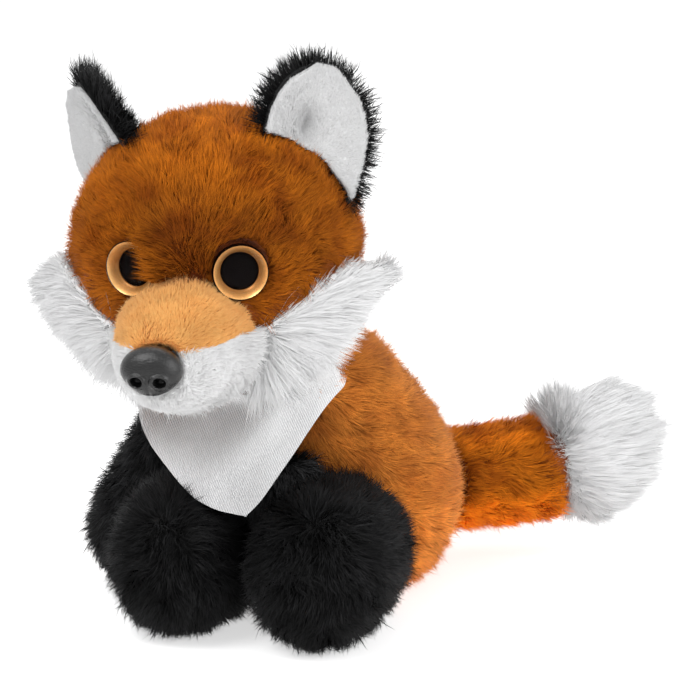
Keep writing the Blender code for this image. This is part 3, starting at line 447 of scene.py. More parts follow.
def hair_mesh(name, lines, normals, width, rng, tone):
    """Tapered ribbons along the lines, facing outward, each in its own cell of the map."""
    count, rows = lines.shape[:2]
    shares = LONG_ROWS if rows == len(LONG_ROWS) else SHORT_ROWS
    body = rows - 1
    lines[:, :, 2] = np.maximum(lines[:, :, 2], FLOOR_GAP)
    ways = unit(np.gradient(lines, axis=1))
    across = unit(np.cross(ways[:, :body], normals[:, None]))
    turn = rng.uniform(-MOST_ROLL, MOST_ROLL, (count, 1, 1))
    across = across * np.cos(turn) + np.cross(ways[:, :body], across) * np.sin(turn)
    taper = (1 - shares[:body] ** 2.2) * (0.85 + 0.15 * np.minimum(shares[:body] * 4, 1))
    wide = (width * rng.uniform(0.7, 1.3, count))[:, None] * taper / 2
    low = lines[:, :body] - across * wide[:, :, None]
    high = lines[:, :body] + across * wide[:, :, None]
    points = np.concatenate([np.stack((low, high), 2).reshape(count, 2 * body, 3), lines[:, body:]], 1)
    each = 2 * body + 1
    ring, begins, cell_rows = [], [], []
    for row in range(body - 1):
        begins.append(len(ring))
        ring += [2 * row, 2 * row + 1, 2 * row + 3, 2 * row + 2]
        cell_rows += [(0, shares[row]), (1, shares[row]), (1, shares[row + 1]), (0, shares[row + 1])]
    begins.append(len(ring))
    ring += [2 * body - 2, 2 * body - 1, 2 * body]
    cell_rows += [(0, shares[body - 1]), (1, shares[body - 1]), (0.5, 1.0)]
    corners = (np.arange(count)[:, None] * each + np.array(ring)).ravel()
    starts = (np.arange(count)[:, None] * len(ring) + np.array(begins)).ravel()
    mesh = bpy.data.meshes.new(name)
    mesh.vertices.add(count * each)
    mesh.loops.add(len(corners))
    mesh.polygons.add(len(starts))
    mesh.vertices.foreach_set("co", points.astype(np.float32).ravel())
    mesh.loops.foreach_set("vertex_index", corners.astype(np.int32))
    mesh.polygons.foreach_set("loop_start", starts.astype(np.int32))
    mesh.update(calc_edges=True)
    mesh.shade_smooth()
    along = np.tile(np.repeat(shares, [2] * body + [1]), count)
    pick = np.repeat(rng.random(count), each)
    for label, values in (("along", along), ("pick", pick), ("tone", np.repeat(tone, each))):
        carry(mesh, label, values)
    cells = math.ceil(math.sqrt(count))
    cell = np.stack((np.arange(count) % cells, np.arange(count) // cells), 1)
    places = (cell[:, None] + np.array(cell_rows) * 0.8 + 0.1) / cells
    mesh.uv_layers.new(name="OFBake").data.foreach_set("uv", places.astype(np.float32).ravel())
    lift = unit(normals[:, None] * 0.85 + ways * 0.35)
    shaded = np.concatenate([np.repeat(lift[:, :body], 2, axis=1), lift[:, body:]], 1).reshape(-1, 3)
    mesh.normals_split_custom_set_from_vertices(shaded.astype(np.float32))
    return mesh


def pile(name, body, paint, roots, lines, width, tone=None):
    """The hairs as pieces of a bearable size."""
    tone = np.ones(roots.count) if tone is None else tone
    order = np.argsort(roots.points @ np.array((1.0, 0.3, 0.2)))
    faces = roots.count * (2 * lines.shape[1] - 3)
    parts = max(1, math.ceil(faces / MOST_FACES))
    for number, some in enumerate(np.array_split(order, parts)):
        label = name if parts == 1 else name + "_" + str(number + 1)
        mesh = hair_mesh(label, lines[some], roots.normals[some], width, roots.rng, tone[some])
        link(label, mesh, paint, body)


# ---- materials

PATCH_SIZE = 0.012
SKIN_GRAIN = 0.0007
SKIN_CLOUD = 0.004


class Nodes:
    """A tree of shader nodes under construction."""

    def __init__(self, tree):
        self.tree = tree

    def add(self, kind, inputs=None, **settings):
        """A node, its settings and what its sockets hold or read."""
        node = self.tree.nodes.new(kind)
        for key, value in settings.items():
            setattr(node, key, value)
        for key, value in (inputs or {}).items():
            self.put(node.inputs[key], value)
        return node

    def put(self, socket, value):
        """A socket's number, colour, grey or link."""
        if isinstance(value, bpy.types.NodeSocket):
            self.tree.links.new(value, socket)
        elif socket.type == "RGBA":
            socket.default_value = (*((value,) * 3 if isinstance(value, float) else value), 1.0)
        else:
            socket.default_value = value

    def span(self, value, low, high, to_low=0.0, to_high=1.0):
        """A value stretched from one range to another, and held there."""
        inputs = {"Value": value, "From Min": low, "From Max": high,
                  "To Min": to_low, "To Max": to_high}
        return self.add("ShaderNodeMapRange", inputs).outputs["Result"]

    def math(self, kind, a, b):
        """Two values put together."""
        return self.add("ShaderNodeMath", {0: a, 1: b}, operation=kind).outputs[0]


class Paint(Nodes):
    """A node material under construction."""

    def __init__(self, name):
        self.material = bpy.data.materials.new(name)
        self.material.use_nodes = True
        super().__init__(self.material.node_tree)
        self.shader = self.tree.nodes["Principled BSDF"]
        self.output = self.tree.nodes["Material Output"]

    def set(self, **values):
        """The shader's own sockets, their names with underscores for spaces."""
        for key, value in values.items():
            self.put(self.shader.inputs[key.replace("_", " ")], value)

    def places(self):
        """The piece's own coordinates."""
        return self.add("ShaderNodeTexCoord").outputs["Object"]

    def noise(self, scale, detail=3.0, roughness=0.5):
        """Noise over the piece, from 0 to 1."""
        inputs = {"Vector": self.places(), "Scale": scale, "Detail": detail, "Roughness": roughness}
        return self.add("ShaderNodeTexNoise", inputs).outputs["Fac"]

    def mix(self, share, a, b):
        """One colour going over into another."""
        return self.add("ShaderNodeMix", {0: share, 6: a, 7: b}, data_type="RGBA").outputs[2]

    def brighter(self, colour, value):
        """A colour at another brightness."""
        return self.add("ShaderNodeHueSaturation", {"Color": colour, "Value": value}).outputs["Color"]

    def bump(self, height, distance):
        """A raised pattern."""
        inputs = {"Height": height, "Distance": distance, "Strength": 1.0}
        self.put(self.shader.inputs["Normal"], self.add("ShaderNodeBump", inputs).outputs["Normal"])

    def show(self, share, one, other):
        """One shader going over into another, as the surface."""
        both = self.add("ShaderNodeMixShader", {0: share, 1: one.outputs[0], 2: other.outputs[0]})
        self.put(self.output.inputs["Surface"], both.outputs[0])

    def reads(self, name):
        """A value that the mesh carries."""
        return self.add("ShaderNodeAttribute", attribute_name=name).outputs["Fac"]


def pile_paint(name, deep, tip, patch, patch_most=0.5, vary=(0.75, 1.25), roughness=0.75, sheen=0.25,
               sheen_tint=1.0, shine=0.25, through=0.0):
    """Hairs darker at the root, with patches of another tone and each hair a little different."""
    paint = Paint(name)
    colour = paint.mix(paint.span(paint.reads("along"), 0.05, 0.85), deep, tip)
    spots = paint.span(paint.noise(1 / PATCH_SIZE, 2.5, 0.6), 0.42, 0.68, 0.0, patch_most)
    pick = paint.span(paint.reads("pick"), 0.0, 1.0, *vary)
    # The carried tone is random tone, and on the head, body, tail, arms and muzzle it also holds painted
    # light and painted shade.
    value = paint.math("MULTIPLY", pick, paint.reads("tone"))
    colour = paint.brighter(paint.mix(spots, colour, patch), value)
    paint.set(Base_Color=colour, Roughness=roughness, Sheen_Weight=sheen, Sheen_Roughness=0.5,
              Sheen_Tint=sheen_tint, Specular_IOR_Level=shine)
    if through:
        glow = paint.add("ShaderNodeBsdfTranslucent", {"Color": colour})
        paint.show(through, paint.shader, glow)
    return paint.material


def skin_paint(name, light, dark, sheen=0.2):
    """The plush backing or a short velvety pile."""
    paint = Paint(name)
    fine = paint.noise(1 / SKIN_GRAIN, 2.0)
    colour = paint.mix(paint.span(paint.noise(1 / SKIN_CLOUD, 4.0), 0.35, 0.7), light, dark)
    colour = paint.brighter(colour, paint.span(fine, 0.3, 0.7, 0.85, 1.15))
    paint.set(Base_Color=colour, Roughness=0.95, Sheen_Weight=sheen, Sheen_Roughness=0.5)
    paint.bump(fine, 0.0004)
    return paint.material


def make_paints():
    """The plush's materials: pile with its root, tip and patch colours, and skins with two colours."""
    pale_looks = {"patch_most": 0.3, "sheen": 0.1, "shine": 0.1}
    piles = {
        "rust_pile": ((0.24, 0.045, 0.001), (0.66, 0.180, 0.007), (0.28, 0.050, 0.001),
                      {"patch_most": 0.75, "vary": (0.72, 1.28), "sheen": 0.06,
                       "sheen_tint": (1.0, 0.6, 0.3), "shine": 0.09}),
        # The body's pile: the rust pile made paler and less saturated, as painted light.
        "pale_pile": ((0.30, 0.070, 0.006), (0.70, 0.230, 0.030), (0.36, 0.085, 0.008),
                      {"patch_most": 0.65, "vary": (0.72, 1.28), "sheen": 0.12,
                       "sheen_tint": (1.0, 0.75, 0.6), "shine": 0.15}),
        "black_pile": ((0.0010, 0.0010, 0.0011), (0.0125, 0.0125, 0.0130), 0.0020,
                       {"vary": (0.1, 2.4), "roughness": 0.45, "sheen": 0.02, "shine": 0.05}),
        "white_pile": (0.94, (0.96, 0.96, 0.965), 0.94,
                       {**pale_looks, "vary": (0.96, 1.03), "through": 0.12}),
        "velvet": (0.66, (0.74, 0.74, 0.745), 0.68, {**pale_looks, "vary": (0.96, 1.03)}),
        "white_short": (0.84, 0.87, 0.84, {**pale_looks, "vary": (0.97, 1.02)}),
        "tan_short": ((0.92, 0.38, 0.085), (1.0, 0.53, 0.16), (0.93, 0.38, 0.085),
                      {"vary": (0.95, 1.05), "sheen": 0.2, "sheen_tint": (1.0, 0.8, 0.6)}),
    }
    skins = {
        "rust_skin": ((0.28, 0.060, 0.005), (0.18, 0.035, 0.003)),
        "black_skin": (0.002, 0.001, 0.0),
        "white_skin": (0.92, 0.88),
        "velvet_skin": (0.70, 0.64),
        "tan_skin": ((0.72, 0.29, 0.075), (0.60, 0.22, 0.05)),
    }
    paints = {name: pile_paint(name, *colours, **looks) for name, (*colours, looks) in piles.items()}
    paints.update({name: skin_paint(name, *values) for name, values in skins.items()})
    return paints


# ---- the fox's pieces


def eye_look(sign):
    """Where an eye looks."""
    return HEAD_LEFT * math.sin(EYE_TOE_OUT) * sign + HEAD_FRONT * math.cos(EYE_TOE_OUT)


def round_eye(points, side, sign):
    """How far points are from an eye's axis, in which direction, and how far ahead of its ring."""
    look = eye_look(sign)
    offset = points - cad_numbers(["iris_ring_" + side])[0].mean(0)
    ahead = offset @ look
    sideways = offset - look * ahead[:, None]
    return np.linalg.norm(sideways, axis=1), sideways, ahead


def near_eyes(points, inner, outer):
    """0 at the eyes and 1 away from them."""
    free = np.ones(len(points))
    for side, sign in SIDES:
        far, _, ahead = round_eye(points, side, sign)
        free = np.minimum(free, np.maximum(smooth_step(far, inner, outer), ahead < -EYE_DEPTH))
    return free


def eye_cover(points):
    """1 where the fur lies over the right eye's inner side."""
    far, sideways, ahead = round_eye(points, "right", -1)
    over = hill(far - 11 * MM, 3.5 * MM) * (ahead > -EYE_DEPTH)
    return over * smooth_step(sideways @ HEAD_LEFT, 2 * MM, 7 * MM)


def dress_head(paints):
    """The head's skin, drawn in at the eyes and behind the left ear's dent, and its combed pile."""
    per_mm2, length, width, deep = COATS["head"]
    meets = [part + side for part in (*EYE_PARTS, "cheek_ruff_", "ear_back_") for side, _ in SIDES]
    meets += ["muzzle_top", "muzzle_chin"]
    skin = Skin("head_plush", ["head_cover", "head_stuffing"], meets=meets)
    for side, sign in SIDES:
        far, _, ahead = round_eye(skin.points, side, sign)
        behind = (1 - smooth_step(far, 8.4 * MM, 10.0 * MM)) * (ahead > -EYE_DEPTH)
        skin.points -= np.outer(behind * 5.0 * MM, eye_look(sign))
    ear, across, rise, look = ear_place("left", 1)
    dent = ear - across * 3 * MM + rise * 7 * MM
    near = hill(np.linalg.norm(skin.points - (dent - look * 3 * MM), axis=1), 8 * MM)
    skin.points -= unit(skin.points - HEAD_CENTRE) * (near * 4.5 * MM)[:, None]
    skin.points += np.outer(eye_cover(skin.points) * 2.4 * MM, HEAD_FRONT)
    skin.piece("head", paints["rust_skin"], deep)
    roots = Roots(skin, per_mm2, 11, lambda points, normals: near_eyes(points, 8.8 * MM, 9.2 * MM)
                  * (np.linalg.norm(points - dent, axis=1) > 5.5 * MM))
    points = roots.points
    left, front, up = from_head(points)
    over = eye_cover(points)
    low = 1 - smooth_step(up, -32 * MM, -22 * MM)
    down = 1.6 * np.exp(-gap_to(["cheek_ruff_left", "cheek_ruff_right"], points) / (3 * MM)) * (1 - low)
    comb = unit(points - in_head(0, 0.040, -0.014)) + UP * 0.15
    comb = comb - np.outer(4.0 * over, HEAD_LEFT) - np.outer(down, UP)
    comb = comb - np.outer(1.5 * low * (front > 0), HEAD_FRONT)
    roots.free = roots.free * (0.40 + 0.60 * np.maximum(near_eyes(points, 8.3 * MM, 14 * MM), over))
    bridge = hill(left, 7 * MM) * hill(up - 1 * MM, 9 * MM) * (front > 0)
    # Painted shade: the pile is darkened over the front of the face and towards the head's left side; the
    # waves are random tone.
    face = hill(left, 34 * MM) * hill(up - 7 * MM, 20 * MM) * (front > 0)
    painted_shade = 0.44 * face + 0.20 * smooth_step(left, 5 * MM, 35 * MM)
    tone = (1.00 - painted_shade) * (1 + 0.17 * waves(points, 12 * MM, 17))
    long = length * (1 + 0.45 * bridge + 0.20 * over)
    lines = comb_hairs(roots, comb, long, deep * (1 - over), 0.68 + 0.2 * bridge, messy=0.35, swirl=0.8,
                       swirl_size=12 * MM, per_clump=10, seed=11)
    pile("head_pile", "head", paints["rust_pile"], roots, lines, width, tone)


def turned(points):
    """How many degrees points are round the neck from the front, to the left."""
    middle = BODY_MIDDLE - np.clip(points[:, 2] - 0.075, 0, 1) * 0.9
    return np.degrees(np.arctan2(points[:, 0], middle - points[:, 1]))


def band_hidden(points):
    """1 at the sides and the back, where the pile closes over the bandana's band, and 0 in front."""
    degrees = turned(points)
    return np.maximum(smooth_step(degrees, *HIDDEN_LEFT), smooth_step(-degrees, *HIDDEN_RIGHT))


def band_lift(degrees):
    """How much of its rise the cloth has round the neck, under the left cheek."""
    return smooth_step(degrees, 4, 42) * (1 - smooth_step(degrees, 64, 80))


def above_band(points):
    """How far points are above the middle of the bandana's band."""
    degrees = turned(points)
    back_share = (1 - np.cos(np.radians(degrees))) / 2
    level = BAND_MIDDLE[0] + (BAND_MIDDLE[1] - BAND_MIDDLE[0]) * back_share
    return points[:, 2] - (level + CLOTH_LIFT * band_lift(degrees))


def over_band(points):
    """1 where the pile closes over the band and 0 away from it."""
    return hill(above_band(points), 5 * MM) * band_hidden(points)


def has_fur(points):
    """False on the front of the neck, behind the cloth and under the chin."""
    beside = np.abs(turned(points)) > BARE_HALF_WIDTH
    return (points[:, 2] < BARE_FROM) | beside | (above_band(points) > 6.5 * MM)


def dress_body(paints, cloth):
    """The body's skin, sunk under the cloth, and its pile, which closes over the band at the back."""
    per_mm2, length, width, deep = COATS["body"]
    skin = Skin("body_plush", ["body_cover", "body_stuffing", "bead_pouch"])
    under = skin.freedom(("bandana",), cloth)
    skin.free, skin.open = under + (skin.freedom(("bandana",)) - under) * band_hidden(skin.points)
    degrees = turned(skin.points)
    beside = smooth_step(degrees, 38, 46) * (1 - smooth_step(degrees, 78, 86))
    collar = smooth_step(above_band(skin.points), 5.5 * MM, 8 * MM) * (1 - beside)
    skin.free = np.maximum(skin.free, 0.35 * collar)
    skin.piece("body", paints["rust_skin"], deep)
    roots = Roots(skin, per_mm2, 12,
                  lambda points, normals: has_fur(points) * (1 + 1.4 * over_band(points)))
    comb = np.array((0.0, 1.0, -0.25))
    long = length * (1 + 0.35 * over_band(roots.points))
    lines = comb_hairs(roots, comb, long, deep, 0.66, messy=0.35, swirl=0.7, swirl_size=12 * MM,
                       per_clump=10, seed=12)
    # Painted light: the body's pile is painted brighter towards the bottom, as light from below, and a
    # little brighter overall; the waves are random tone.
    low = 1 - smooth_step(roots.points[:, 2], 15 * MM, 60 * MM)
    tone = (1.08 + 0.52 * low) * (1 + 0.18 * waves(roots.points, 11 * MM, 18))
    pile("body_pile", "body", paints["pale_pile"], roots, lines, width, tone)


def dress_limb(name, paints):
    """A limb's skin and its pile, which turns away from a whorl."""
    per_mm2, length, width, deep = COATS["limb"]
    whorl, seed, down = LIMBS[name]
    skin = Skin(name + "_plush", [name + "_cover", name + "_stuffing"])
    skin.piece(name, paints["black_skin"], deep)
    roots = Roots(skin, per_mm2, seed)
    comb = unit(roots.points - whorl) - UP * down
    lines = comb_hairs(roots, comb, length, deep, 0.66, clump=0.42, per_clump=12, messy=0.40,
                       swirl=0.8, swirl_size=12 * MM, seed=seed)
    # Painted light: a hanging arm's pile is painted brighter than a leg's; the waves are random tone.
    tone = (1 + 0.35 * waves(roots.points, 11 * MM, seed)) * (1.8 if down else 1.0)
    pile(name + "_pile", name, paints["black_pile"], roots, lines, width, tone)


def box_middle(node):
    """The middle of a node's box."""
    return np.array(sum(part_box(node), Vector()) / 2)


def dress_tail(paints):
    """The tail's skin and its pile, combed to the tip."""
    per_mm2, length, width, deep = COATS["tail"]
    skin = Skin("tail_plush", ["tail_cover", "tail_stuffing"], meets=["tail_tip"])
    skin.piece("tail", paints["rust_skin"], deep)
    roots = Roots(skin, per_mm2, 31)
    comb = unit(box_middle("tail_tip") - roots.points) - UP * 0.2
    lines = comb_hairs(roots, comb, length, deep, 0.64, messy=0.35, swirl=0.7, swirl_size=12 * MM,
                       per_clump=10, seed=31)
    # Painted light: the tail's pile is painted brighter towards the bottom and where it faces up; the
    # waves are random tone.
    low = 1 - smooth_step(roots.points[:, 2], 14 * MM, 34 * MM)
    top = smooth_step(roots.normals[:, 2], 0.4, 0.9)
    tone = (0.92 + 1.60 * low + 0.55 * top) * (1 + 0.20 * waves(roots.points, 10 * MM, 19))
    pile("tail_pile", "tail", paints["rust_pile"], roots, lines, width, tone)


def dress_tuft(paints):
    """The tail's long white end: hairs that fan from the seam to the tuft's surface and past it."""
    skin = Skin("tail_tuft", ["tail_tip"], clear=1.5 * MM, reach=2 * MM, floor=False,
                meets=["tail_cover"])
    tip = box_middle("tail_tip")
    axis = unit(tip - box_middle("tail_cover"))
    seam = tip - axis * 15 * MM
    hull = bmesh.new()
    for point in seam + (skin.points - seam) * 0.55:
        hull.verts.new(point)
    bmesh.ops.convex_hull(hull, input=hull.verts[:])
    inside = [point for point in hull.verts if not point.link_faces]
    bmesh.ops.delete(hull, geom=inside, context="VERTS")
    core = bpy.data.meshes.new("tail_tuft")
    hull.to_mesh(core)
    hull.free()
    core.shade_smooth()
    link("tail_tuft", core, paints["white_skin"], "tail", ["tail_tip"])
    roots = Roots(skin, 4.6, 41)
    rng, count = roots.rng, roots.count
    offset = roots.points - seam
    ahead = offset @ axis
    sideways = offset - np.outer(ahead, axis)
    start = seam + sideways * 0.50 + axis * rng.uniform(-3, 5, (count, 1)) * MM
    reach = rng.uniform(0.75, 1.12, (count, 1))
    crown = smooth_step(unit(sideways) @ UP, 0.3, 0.9) * (1 - smooth_step(ahead, 8 * MM, 20 * MM))
    wild = (rng.random(count) < 0.10 + 0.45 * crown) * (ahead < 20 * MM)
    bend = wave_rows(roots.points, 12 * MM, 43) * 2.0 * MM + rng.normal(size=start.shape) * 0.8 * MM
    more = (crown * rng.random(count))[:, None] * MM
    flare = unit(sideways) * (5 * MM + 10 * more) - axis * (1 * MM + 3 * more)
    bend = bend + flare * wild[:, None]
    lines = []
    for t in LONG_ROWS:
        straight = start + (roots.points - start) * t * reach
        bow = sideways * (0.30 * t * (1 - t))
        lines.append(straight + bow + bend * t * t)
    lines = clumped(np.stack(lines, 1), roots, LONG_ROWS, 0.5, 26)
    pile("tail_tuft_pile", "tail", paints["white_pile"], roots, lines, 0.30 * MM)


def dress_ruffs(paints):
    """The cheeks' long white pile, combed out, and up over the head's edge."""
    per_mm2, length, width, deep = COATS["ruff"]
    for side, sign in SIDES:
        node, is_left = "cheek_ruff_" + side, sign > 0
        skin = Skin(node + "_plush", [node], clear=1.5 * MM, reach=3 * MM, floor=False,
                    meets=["head_cover", "muzzle_top", "muzzle_chin"])
        skin.open = skin.free * 0.8 + skin.open * 0.2
        root, tip = (in_head(left * sign, front, up) for left, front, up in (RUFF_ROOT, RUFF_TIP))
        if is_left:
            span = tip - root
            along = (skin.points - root) @ (span / (span @ span))
            above = root[2] + span[2] * along + 12 * MM - skin.points[:, 2]
            skin.points[:, 2] += 0.48 * smooth_step(along, 0.40, 1.0) * np.clip(above, 0, None)
            skin.normals = vertex_normals(skin.points, skin.tris)
        skin.piece("head", paints["white_skin"], deep)
        roots = Roots(skin, per_mm2, 51 + sign)
        away = roots.points - in_head(8 * MM * sign, 52 * MM, -13 * MM)
        beside = np.exp(-gap_to(["head_cover"], roots.points) / (3 * MM))
        _, front, up = from_head(roots.points)
        low = smooth_step(-up, 26 * MM, 42 * MM) * smooth_step(front, 12 * MM, 26 * MM)
        far = smooth_step(np.linalg.norm(away, axis=1), 25 * MM, 50 * MM)
        down = (0.05 if is_left else 0.30) + 0.9 * low
        comb = unit(away) + np.outer(1.5 * beside + 0.08 * far * is_left - down, UP)
        tipmost = hill(np.linalg.norm(roots.points - tip, axis=1), 8 * MM) * is_left
        long = length * (1 - 0.25 * far + 0.35 * low + 0.25 * tipmost - 0.08 * beside)
        lines = comb_hairs(roots, comb, long, deep, 0.40, clump=0.42, per_clump=30, droop=0.10,
                           messy=0.34, vary=0.26, seed=51 + sign, rows=LONG_ROWS)
        tone = np.full(roots.count, 0.95)
        pile(node + "_pile", "head", paints["white_pile"], roots, lines, width, tone)


def dress_muzzle(paints):
    """The muzzle's two short plushes, parted at their seam."""
    skin = Skin("muzzle_plush", ["muzzle_top", "muzzle_chin", "muzzle_stuffing"], voxel=1.2 * MM,
                reach=2 * MM, clear=1.0 * MM, floor=False,
                meets=["cheek_ruff_left", "cheek_ruff_right", "head_cover"])
    seam = in_head(0, 0.070, -0.019)
    seam_up = HEAD_FRONT * math.sin(SEAM_TILT) + UP * math.cos(SEAM_TILT)
    deep = 1.0 * MM
    surface = skin.sunk(deep)
    for label, sign, nodes, paint in (("muzzle_top_", 1, ["muzzle_top", "muzzle_stuffing"], "tan"),
                                      ("muzzle_chin_", -1, ["muzzle_chin"], "white")):
        mesh = from_numbers(label + "plush", surface, skin.tris)
        cutting = bmesh.new()
        cutting.from_mesh(mesh)
        bmesh.ops.bisect_plane(cutting, geom=cutting.verts[:] + cutting.edges[:] + cutting.faces[:],
                               plane_co=seam, plane_no=seam_up * sign, clear_inner=True)
        cutting.to_mesh(mesh)
        cutting.free()
        mesh.shade_smooth()
        link(label + "plush", mesh, paints[paint + "_skin"], "head", nodes)
        keep = (lambda points, normals, sign=sign: ((points - seam) @ seam_up) * sign > 0)
        roots = Roots(skin, 10.0, 61 + sign, keep)
        left, front, up = from_head(roots.points)
        back = 1 - smooth_step(front, 40 * MM, 54 * MM)
        comb = wave_rows(roots.points, 10 * MM, 66) * 0.4 - HEAD_FRONT - np.outer(0.5 * back, UP)
        long = (2.2 + (1.2 if sign > 0 else 5.0) * back) * MM
        lines = comb_hairs(roots, comb, long, deep, 0.60, clump=0.16, messy=0.30, seed=61 + sign)
        # Painted shade: a darker patch on the top plush beside the nose, and a dark line along the
        # mouth's crease on the chin; the waves are random tone.
        patch = 0.20 * hill(left - 7 * MM, 6 * MM) * hill(up + 15 * MM, 4 * MM) * (sign > 0)
        lip = -36.5 * MM - 0.05 * np.abs(left)
        mouth_crease_shade = 0.14 * hill(up - lip, 0.7 * MM) * (front > 45 * MM) * (sign < 0)
        tone = (1 - patch - mouth_crease_shade) * (1 + 0.04 * waves(roots.points, 7 * MM, 67))
        pile(label + "pile", "head", paints[paint + "_short"], roots, lines, 0.22 * MM,
             tone)


def ear_place(side, sign):
    """An ear's root on the head, its way across, its way up and where it looks."""
    front, facing, look_up, tilt = EARS[side]
    facing, look_up, tilt = (math.radians(angle) for angle in (facing, look_up, tilt))
    root = in_head(sign * EAR_OUT, front, EAR_RISE)
    look = ((HEAD_LEFT * sign * math.sin(facing) + HEAD_FRONT * math.cos(facing)) * math.cos(look_up)
            + UP * math.sin(look_up))
    outward = HEAD_LEFT * sign * math.cos(facing) - HEAD_FRONT * math.sin(facing)
    upward = np.cross(look, outward) * sign
    rise = upward * math.cos(tilt) + outward * math.sin(tilt)
    across = outward * math.cos(tilt) - upward * math.sin(tilt)
    return root, across, rise, look


def shape_ear(skin, ear, inset, dent):
    """An ear's skin drawn in from its rim, with the dent of the pinch at its root."""
    root, across, rise, look = ear
    offset = skin.points - root
    out, up, ahead = offset @ across, offset @ rise, offset @ look
    out *= 1 - inset / EAR_HALF_WIDTH
    up = np.where(up > 0, up * (1 - inset / EAR_HEIGHT), up)
    below = np.clip(12 * MM - up, 0, 12 * MM) * 0.45
    far = np.hypot((out + 3 * MM) / (4.0 * MM), (up - 13 * MM + below) / (6.0 * MM))
    ahead -= dent * np.exp(-far ** 1.5)
    skin.points = root + across * out[:, None] + rise * up[:, None] + look * ahead[:, None]
    skin.normals = vertex_normals(skin.points, skin.tris)


def dress_ears(paints):
    """Each ear's furry black back and its short white lining."""
    for side, sign in SIDES:
        body = "ear_" + side
        ear = ear_place(side, sign)
        root, across, rise, look = ear
        dent = EAR_DENTS[side]
        back = Skin("ear_back_plush_" + side, ["ear_back_" + side], voxel=0.9 * MM, rounds=3,
                    reach=1.5 * MM, clear=0.9 * MM, floor=False)
        shape_ear(back, ear, 2.8 * MM, dent)
        back.piece(body, paints["black_skin"], 0.3 * MM)
        roots = Roots(back, 6.0, 71 + sign, lambda points, normals, look=look: normals @ look < 0.42)
        middle = root + rise * 6 * MM
        away = roots.points - middle
        away = unit(away - look * (away @ look)[:, None])
        edge = np.abs((roots.normals * away).sum(1))
        long = np.full(roots.count, 6.3 * MM)
        if sign < 0:
            forward = smooth_step(away @ (HEAD_FRONT * 0.17 - HEAD_LEFT * 0.98 - UP * 0.35), 0.10, 0.42)
            long = (7.6 - 7.2 * forward) * MM
        lines = comb_hairs(roots, away - look * 0.25 + UP * 0.2, long, 0.3 * MM, 0.42 + 0.40 * edge,
                           clump=0.42, messy=0.50, vary=0.28, seed=71 + sign)
        pile("ear_back_pile_" + side, body, paints["black_pile"], roots, lines, 0.26 * MM)
        lining = Skin("ear_lining_plush_" + side, ["ear_lining_" + side], voxel=0.8 * MM, rounds=3,
                      reach=1.2 * MM, clear=0.5 * MM, floor=False)
        shape_ear(lining, ear, 0.0, dent)
        lining.piece(body, paints["velvet_skin"], 0.2 * MM)
        roots = Roots(lining, 12.0, 81 + sign)
        lines = comb_hairs(roots, unit(roots.points - middle) + rise * 0.5, 1.5 * MM, 0.4 * MM, 0.42,
                           clump=0.0, messy=0.12, swirl=0.15, vary=0.10, seed=81 + sign)
        pile("ear_lining_pile_" + side, body, paints["velvet"], roots, lines, 0.16 * MM)


def dress_neck(paints):
    """The neck's skin, bare in the fold between body and head."""
    skin = Skin("neck_plush", ["neck_stuffing"], voxel=1.5 * MM, floor=False)
    skin.piece("neck", paints["rust_skin"], 0.0)


def turned_piece(name, base, axis, rows, paint, node):
    """A turned piece of the head from rows of place along the axis and radius."""
    side = unit(np.cross(axis, UP))
    angles = np.arange(TURNED_SIDES) * math.tau / TURNED_SIDES
    round_way = np.outer(np.cos(angles), side) + np.outer(np.sin(angles), np.cross(axis, side))
    points, faces, rings = [], [], []
    for along, radius in rows:
        centre = base + axis * (along * MM)
        rings.append(range(len(points), len(points) + (TURNED_SIDES if radius else 1)))
        points += list(centre + round_way * (radius * MM)) if radius else [centre]
    for low, high in zip(rings, rings[1:]):
        for step in range(TURNED_SIDES):
            after = (step + 1) % TURNED_SIDES
            if len(low) == 1:
                faces.append((low[0], high[step], high[after]))
            elif len(high) == 1:
                faces.append((low[after], low[step], high[0]))
            else:
                faces.append((low[step], high[step], high[after], low[after]))
    mesh = from_numbers(name, np.array(points), faces)
    face_outward(mesh)
    mesh.set_sharp_from_angle(angle=math.radians(55))
    return link(name, mesh, paint, "head", [node])


def eye_paints():
    """The eyes' black plastic, gold ring and clear dome."""
    black = Paint("eye_black")
    colour = black.mix(black.noise(900), (0.0014, 0.0006, 0.0006), (0.0022, 0.0010, 0.0010))
    black.set(Base_Color=colour, Roughness=0.35, Specular_IOR_Level=0.02)
    gold = Paint("eye_gold")
    tone = gold.mix(gold.span(gold.reads("along"), 0.0, 1.0), (0.36, 0.150, 0.035), (0.98, 0.54, 0.19))
    grain = gold.span(gold.noise(2600, 2.0), 0.3, 0.7, 0.85, 1.15)
    gold.set(Base_Color=gold.brighter(tone, grain), Metallic=0.55, Roughness=0.34)
    clear = Paint("eye_dome")
    clear.tree.nodes.remove(clear.shader)
    rim = clear.add("ShaderNodeFresnel", {"IOR": 1.5}).outputs[0]
    seen = clear.math("SUBTRACT", 1.0, clear.add("ShaderNodeNewGeometry").outputs["Backfacing"])
    share = clear.math("MULTIPLY", clear.span(rim, 0.09, 1.0, 0.003, 0.8), seen)
    shine = clear.add("ShaderNodeBsdfGlossy", {"Color": 1.0, "Roughness": 0.05})
    through = clear.add("ShaderNodeBsdfTransparent")
    clear.show(share, through, shine)
    return black.material, gold.material, clear.material


